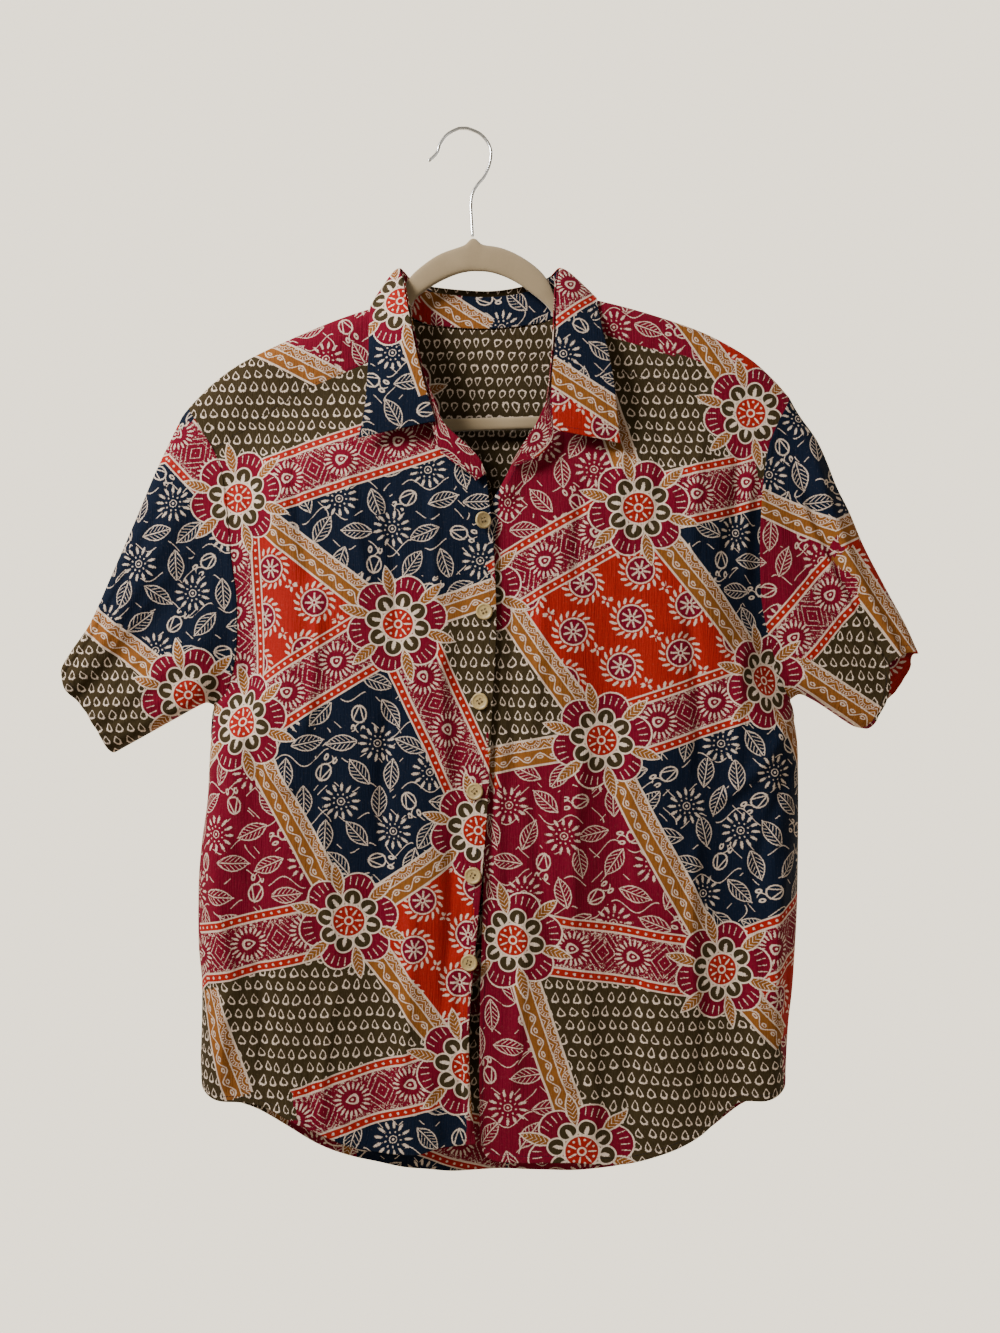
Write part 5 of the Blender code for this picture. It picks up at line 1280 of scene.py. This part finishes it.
def clear_of_panels(points, lay_on):
    """Hold the collar's points outside the fronts and the yoke that they lie on."""
    x, y, z = points[..., 0], points[..., 1], points[..., 2]
    right_seam, left_seam = lookup(YOKE_FRONT_RIGHT, x), lookup(YOKE_FRONT_LEFT, x)
    near_right = x < COLLAR_MIDDLE
    right_y, left_y = front_depth("front_right", x, z), front_depth("front_left", x, z)
    on_front = np.where(near_right, right_y, left_y) - lay_on
    ridge = by_side(x, lookup(SHOULDER_RIGHT, x), lookup(SHOULDER_LEFT, x))
    below = ridge + lay_on - z
    over_ridge = lay_on * quarter_round(below / lay_on)
    share = below / (ridge - by_side(x, right_seam, left_seam))
    on_yoke = -YOKE_LEDGE * yoke_front_rise(share) - over_ridge
    back_share = below / (ridge - lookup(YOKE_BACK, x))
    behind_yoke = lookup(LAYER_DEPTH, z, 2) * quarter_round(back_share * YOKE_BACK_TURN) + over_ridge
    held = np.where(z < np.where(near_right, right_seam, left_seam), np.minimum(y, on_front),
                    np.where(y < 0.0, np.minimum(y, on_yoke), np.maximum(y, behind_yoke)))
    in_neck = (NECK_RIGHT[0][0] < x) & (x < NECK_LEFT[0][0]) & (y > -13.0)
    return np.stack([x, np.where(in_neck, y, held), z], axis=2)


stations = along(STAND, shares(STAND_LONG, "hem", "hem"))
share = shares(STAND_HIGH, "hem", "hem", 2.0)[:, None, None]
points = clear_of_panels((1 - share) * stations[None, :, :3] + share * stations[None, :, 3:], STAND_LAY_ON)
run = run_along(points)
run -= run[:, [points.shape[1] // 2]]
flat = np.stack([run + COLLAR_MIDDLE, STAND_RAISED + share[..., 0] * STAND_HIGH + 0 * run], axis=2)
stand = cloth_piece("collar_stand_band", points, flat, STAND_PRINT, (COLLAR_MIDDLE, -12), [points[SEAM_LINE]])
finish_piece(stand, "collar_stand")

# The collar leaf: turned over the stand and lying on the fronts in two points.
# It is cut double, with its edges topstitched.
LEAF_LONG = 600
LEAF_DEEP = 62
LAY_ON = 2.6
LEAF_TURN_OVER = -260.0
LEAF_RAISED = 2000.0
LEAF_OVER_STAND = 4.4
ROLL_GAP = 0.9
# The leaf's own print, raised so that it shares nothing with the body's
LEAF_PRINT = {
    "ground": "navy",
    "rosettes": [(-56, 1832)],
    "ochre": [(-56, 1832, -26, 1745), (76, 1768, 148, 1721)],
    "crimson": [(60, 1818, 110, 1861)],
    "fills": [("red", [(76, 1768), (148, 1721), (160, 1690), (60, 1690), (60, 1768)]),
              ("olive", [(-30, 1880), (70, 1880), (70, 1990), (-30, 1990)])]}
# From point to point. Columns: roll x, roll y, roll z, edge x, edge y, edge z, roll height
LEAF = [
    (-22, -41, -282, -92, -38, -295, 0), (-32, -39.5, -248, -87, -38, -272, 0.5),
    (-41, -36, -211, -85, -34, -244, 1.5), (-47, -29, -180, -84, -29, -212, 2),
    (-53, -16, -149, -85, -18, -184, 3), (-57, -1, -130, -84, -1, -161, 5), (-50, 10, -134, -78, 16, -180, 6),
    (-35, 13, -141, -60, 24, -187, 7), (22, 16, -145, 22, 27, -192, 8), (62, 13, -140, 100, 24, -182, 7),
    (79, 10, -134, 115, 16, -173, 6), (88, -1, -130, 122, -1, -155, 5), (85.5, -16, -151, 125, -18, -176, 3),
    (84, -29, -180, 127, -29, -196, 2), (83, -36, -208, 132, -34, -218, 1.5),
    (79.5, -39.5, -248, 137, -38, -250, 0.5), (81, -42, -290, 142, -39, -300, 0)]
stations = along(LEAF, shares(LEAF_LONG, "hem", "hem"))
share = shares(LEAF_DEEP, "round", "hem", 2.5)[:, None, None]
roll, edge = stations[None, :, :3], stations[None, :, 3:6]
out = edge - np.array([COLLAR_MIDDLE, -12.0, 0.0])
out[..., 2] = 0.0
out /= np.linalg.norm(out, axis=2)[..., None]
up = np.array([0.0, 0.0, 1.0])
roll = roll + (out + up) * ROLL_GAP
crest = roll + out * 5.0 + stations[None, :, 6:] * up
points = (1 - share) * ((1 - share) * roll + share * crest) + share * ((1 - share) * crest + share * edge)
points = clear_of_panels(points, LAY_ON + (LEAF_OVER_STAND - LAY_ON) * smooth(1.3 - 3 * share[..., 0]))
x, y, z = points[..., 0], points[..., 1], points[..., 2]
flat = np.stack([x, np.where(y > 0, LEAF_TURN_OVER - z, z) + LEAF_RAISED], axis=2)
inner = HEM_LINE
topstitch = np.concatenate([points[inner:-1 - inner, inner], points[-1 - inner, inner:-inner],
                            points[-2 - inner:inner:-1, -1 - inner]])
leaf = cloth_piece("collar_leaf_turned", points, flat, LEAF_PRINT, (COLLAR_MIDDLE, -12), [topstitch])
finish_piece(leaf, "collar_leaf")

# The buttons: six turned discs of pale wood with a raised rim, four holes and two lines of thread.
# They stand along the right front's edge, the topmost turned with the cloth it hangs from.
BUTTON_RADIUS = 7.5
RIM_SIDES = 48
HOLE = 1.1
HOLE_DEEP = 1.6
HOLE_SIDES = 12
HOLE_FROM_MIDDLE = 2.0
FACE_HEIGHT = 1.95
STRAND_HALF = 0.17
STRAND_SIDES = 6
# The rim's turned outline. Columns: distance in from the outermost edge, height
RIM = [(1.2, 0.0), (0.25, 0.35), (0.0, 1.0), (0.05, 1.8), (0.4, 2.5), (1.0, 2.8), (1.7, 2.55), (2.3, 2.1),
       (3.2, FACE_HEIGHT)]

wood, shader, tree = new_material("button_wood", 0.5)
grain = noise(tree, 620.0, 3.0, 0.6)
grained = blend_colour(tree, grain * 1.6 - 0.35, (0.24, 0.15, 0.05, 1.0), (0.44, 0.33, 0.14, 1.0))
feed(tree, grained, shader.inputs["Base Color"])
bump(tree, shader, grain, 0.15, 0.2 * MM)
thread = new_material("cream_thread", 0.85, (0.3, 0.2, 0.1, 1.0))[0]
RIGHT, FORWARD, UPWARD = Vector((1, 0, 0)), Vector((0, 1, 0)), Vector((0, 0, 1))


def button_mesh(name):
    """One button in its own place, its face towards +Z, with thread through its holes."""
    work = bmesh.new()
    rings = []
    for inward, height in RIM:
        radius = BUTTON_RADIUS - inward
        rings.append(add_ring(work, UPWARD * height, RIGHT * radius, FORWARD * radius, RIM_SIDES))
    join_rings(work, rings)
    work.faces.new(rings[0][::-1])
    inner = rings[-1]
    outlines = [work.edges.get((corner, after)) for corner, after in zip(inner, inner[1:] + inner[:1])]
    for quarter in range(4):
        angle = math.tau * (quarter + 0.5) / 4
        middle = Vector((math.cos(angle), math.sin(angle), 0)) * HOLE_FROM_MIDDLE + UPWARD * FACE_HEIGHT
        upper, lower = (add_ring(work, middle - UPWARD * deep, RIGHT * HOLE, FORWARD * HOLE, HOLE_SIDES)
                        for deep in (0.0, HOLE_DEEP))
        outlines += [work.edges.new((corner, after)) for corner, after in zip(upper, upper[1:] + upper[:1])]
        join_rings(work, [lower, upper])
        work.faces.new(lower)
    bmesh.ops.triangle_fill(work, use_beauty=True, edges=outlines)
    bmesh.ops.recalc_face_normals(work, faces=work.faces)
    for face in work.faces:
        face.smooth = True
    reach = HOLE_FROM_MIDDLE * math.sqrt(0.5)
    for side in (-reach, reach):
        for strand in (-0.16, 0.16):
            rings = []
            for step in range(7):
                run = step / 6
                middle = Vector((side + strand, (2 * run - 1) * reach, 1.6 + 0.85 * math.sin(math.pi * run)))
                rings.append(add_ring(work, middle, RIGHT * STRAND_HALF, UPWARD * STRAND_HALF, STRAND_SIDES))
            join_rings(work, rings, material=1)
    mesh = bpy.data.meshes.new(name)
    work.to_mesh(mesh)
    work.free()
    mesh.set_sharp_from_angle(angle=math.radians(50))
    mesh.materials.append(wood)
    mesh.materials.append(thread)
    return mesh


def surface(x, z):
    """The outer y of the right front at one place."""
    return float(front_depth("front_right", np.array([x]), np.array([z]))[0])


for number, (x, z, turn, gap) in enumerate(BUTTONS, start=1):
    reach = BUTTON_RADIUS - 1.0
    slope = (surface(x + reach, z) - surface(x - reach, z)) / (2 * reach)
    offsets = (-BUTTON_RADIUS, 0, BUTTON_RADIUS)
    bulge = max(surface(x, z) + slope * across - surface(x + across, z + up)
                for across in offsets for up in offsets)
    stand_off = gap + bulge + BUTTON_RADIUS * math.sin(math.radians(turn))
    place = Matrix.Scale(MM, 4) @ Matrix.Translation((x, surface(x, z) - stand_off, z))
    upright = Matrix.Rotation(math.pi / 2, 4, "X")
    turned = Matrix.Rotation(math.atan(slope) + math.radians(turn), 4, "Z") @ upright
    name = "button_%d" % number
    mesh = button_mesh(name + "_turned")
    mesh.transform(place @ turned @ Matrix.Rotation(math.radians(12 * number), 4, "Z"))
    finish_piece(add_object(name + "_turned", mesh), name)

# The setting: a plain pale floor far under the hanging shirt, with soft light from the upper left.
# The camera looks straight on, from the photograph's place.
world = bpy.data.worlds.new("soft_room")
bpy.context.scene.world = world
world.use_nodes = True
sky = world.node_tree
parts = sky.nodes.new("ShaderNodeSeparateXYZ")
feed(sky, sky.nodes.new("ShaderNodeTexCoord").outputs["Generated"], parts.inputs[0])
brightness = sky.nodes.new("ShaderNodeMapRange")
ends = {"From Min": -0.2, "From Max": 0.7, "To Min": 0.34, "To Max": 2.5}
for name, value in {"Value": parts.outputs["Y"], **ends}.items():
    feed(sky, value, brightness.inputs[name])
feed(sky, brightness.outputs[0], sky.nodes["Background"].inputs[1])
feed(sky, (0.86, 0.77, 0.62, 1.0), sky.nodes["Background"].inputs[0])
LIGHTS = [("key", (-1.3, -0.95, 0.7), 0.7, 100.0), ("fill", (1.5, -1.6, -0.6), 1.6, 9.0),
          ("behind", (0.6, 1.6, 0.6), 1.4, 26.0)]
for name, position, size, power in LIGHTS:
    light = bpy.data.lights.new(name, "AREA")
    light.size = size
    light.energy = power
    lamp = add_object(name, light)
    lamp.location = position
    lamp.rotation_euler = (Vector((0.03, 0.0, -0.5)) - lamp.location).to_track_quat("-Z", "Y").to_euler()
FLOOR_HALF = 1.1
FLOOR_LEVEL = -1.9
pale_floor = new_material("pale_floor", 0.9, (0.72, 0.68, 0.61, 1.0))[0]
mesh = bpy.data.meshes.new("floor")
corners = [(x * FLOOR_HALF, y * FLOOR_HALF, FLOOR_LEVEL) for x, y in ((-1, -1), (1, -1), (1, 1), (-1, 1))]
mesh.from_pydata(corners, [], [(0, 1, 2, 3)])
mesh.materials.append(pale_floor)
add_object("floor", mesh)

view = bpy.data.cameras.new("photo_view")
view.lens = 27.0
view.sensor_fit = "VERTICAL"
view.sensor_height = 36.0
camera = add_object("photo_view", view)
camera.location = (0.0344, -0.930, -0.499)
camera.rotation_euler = (math.radians(90), 0, 0)
bpy.context.scene.camera = camera
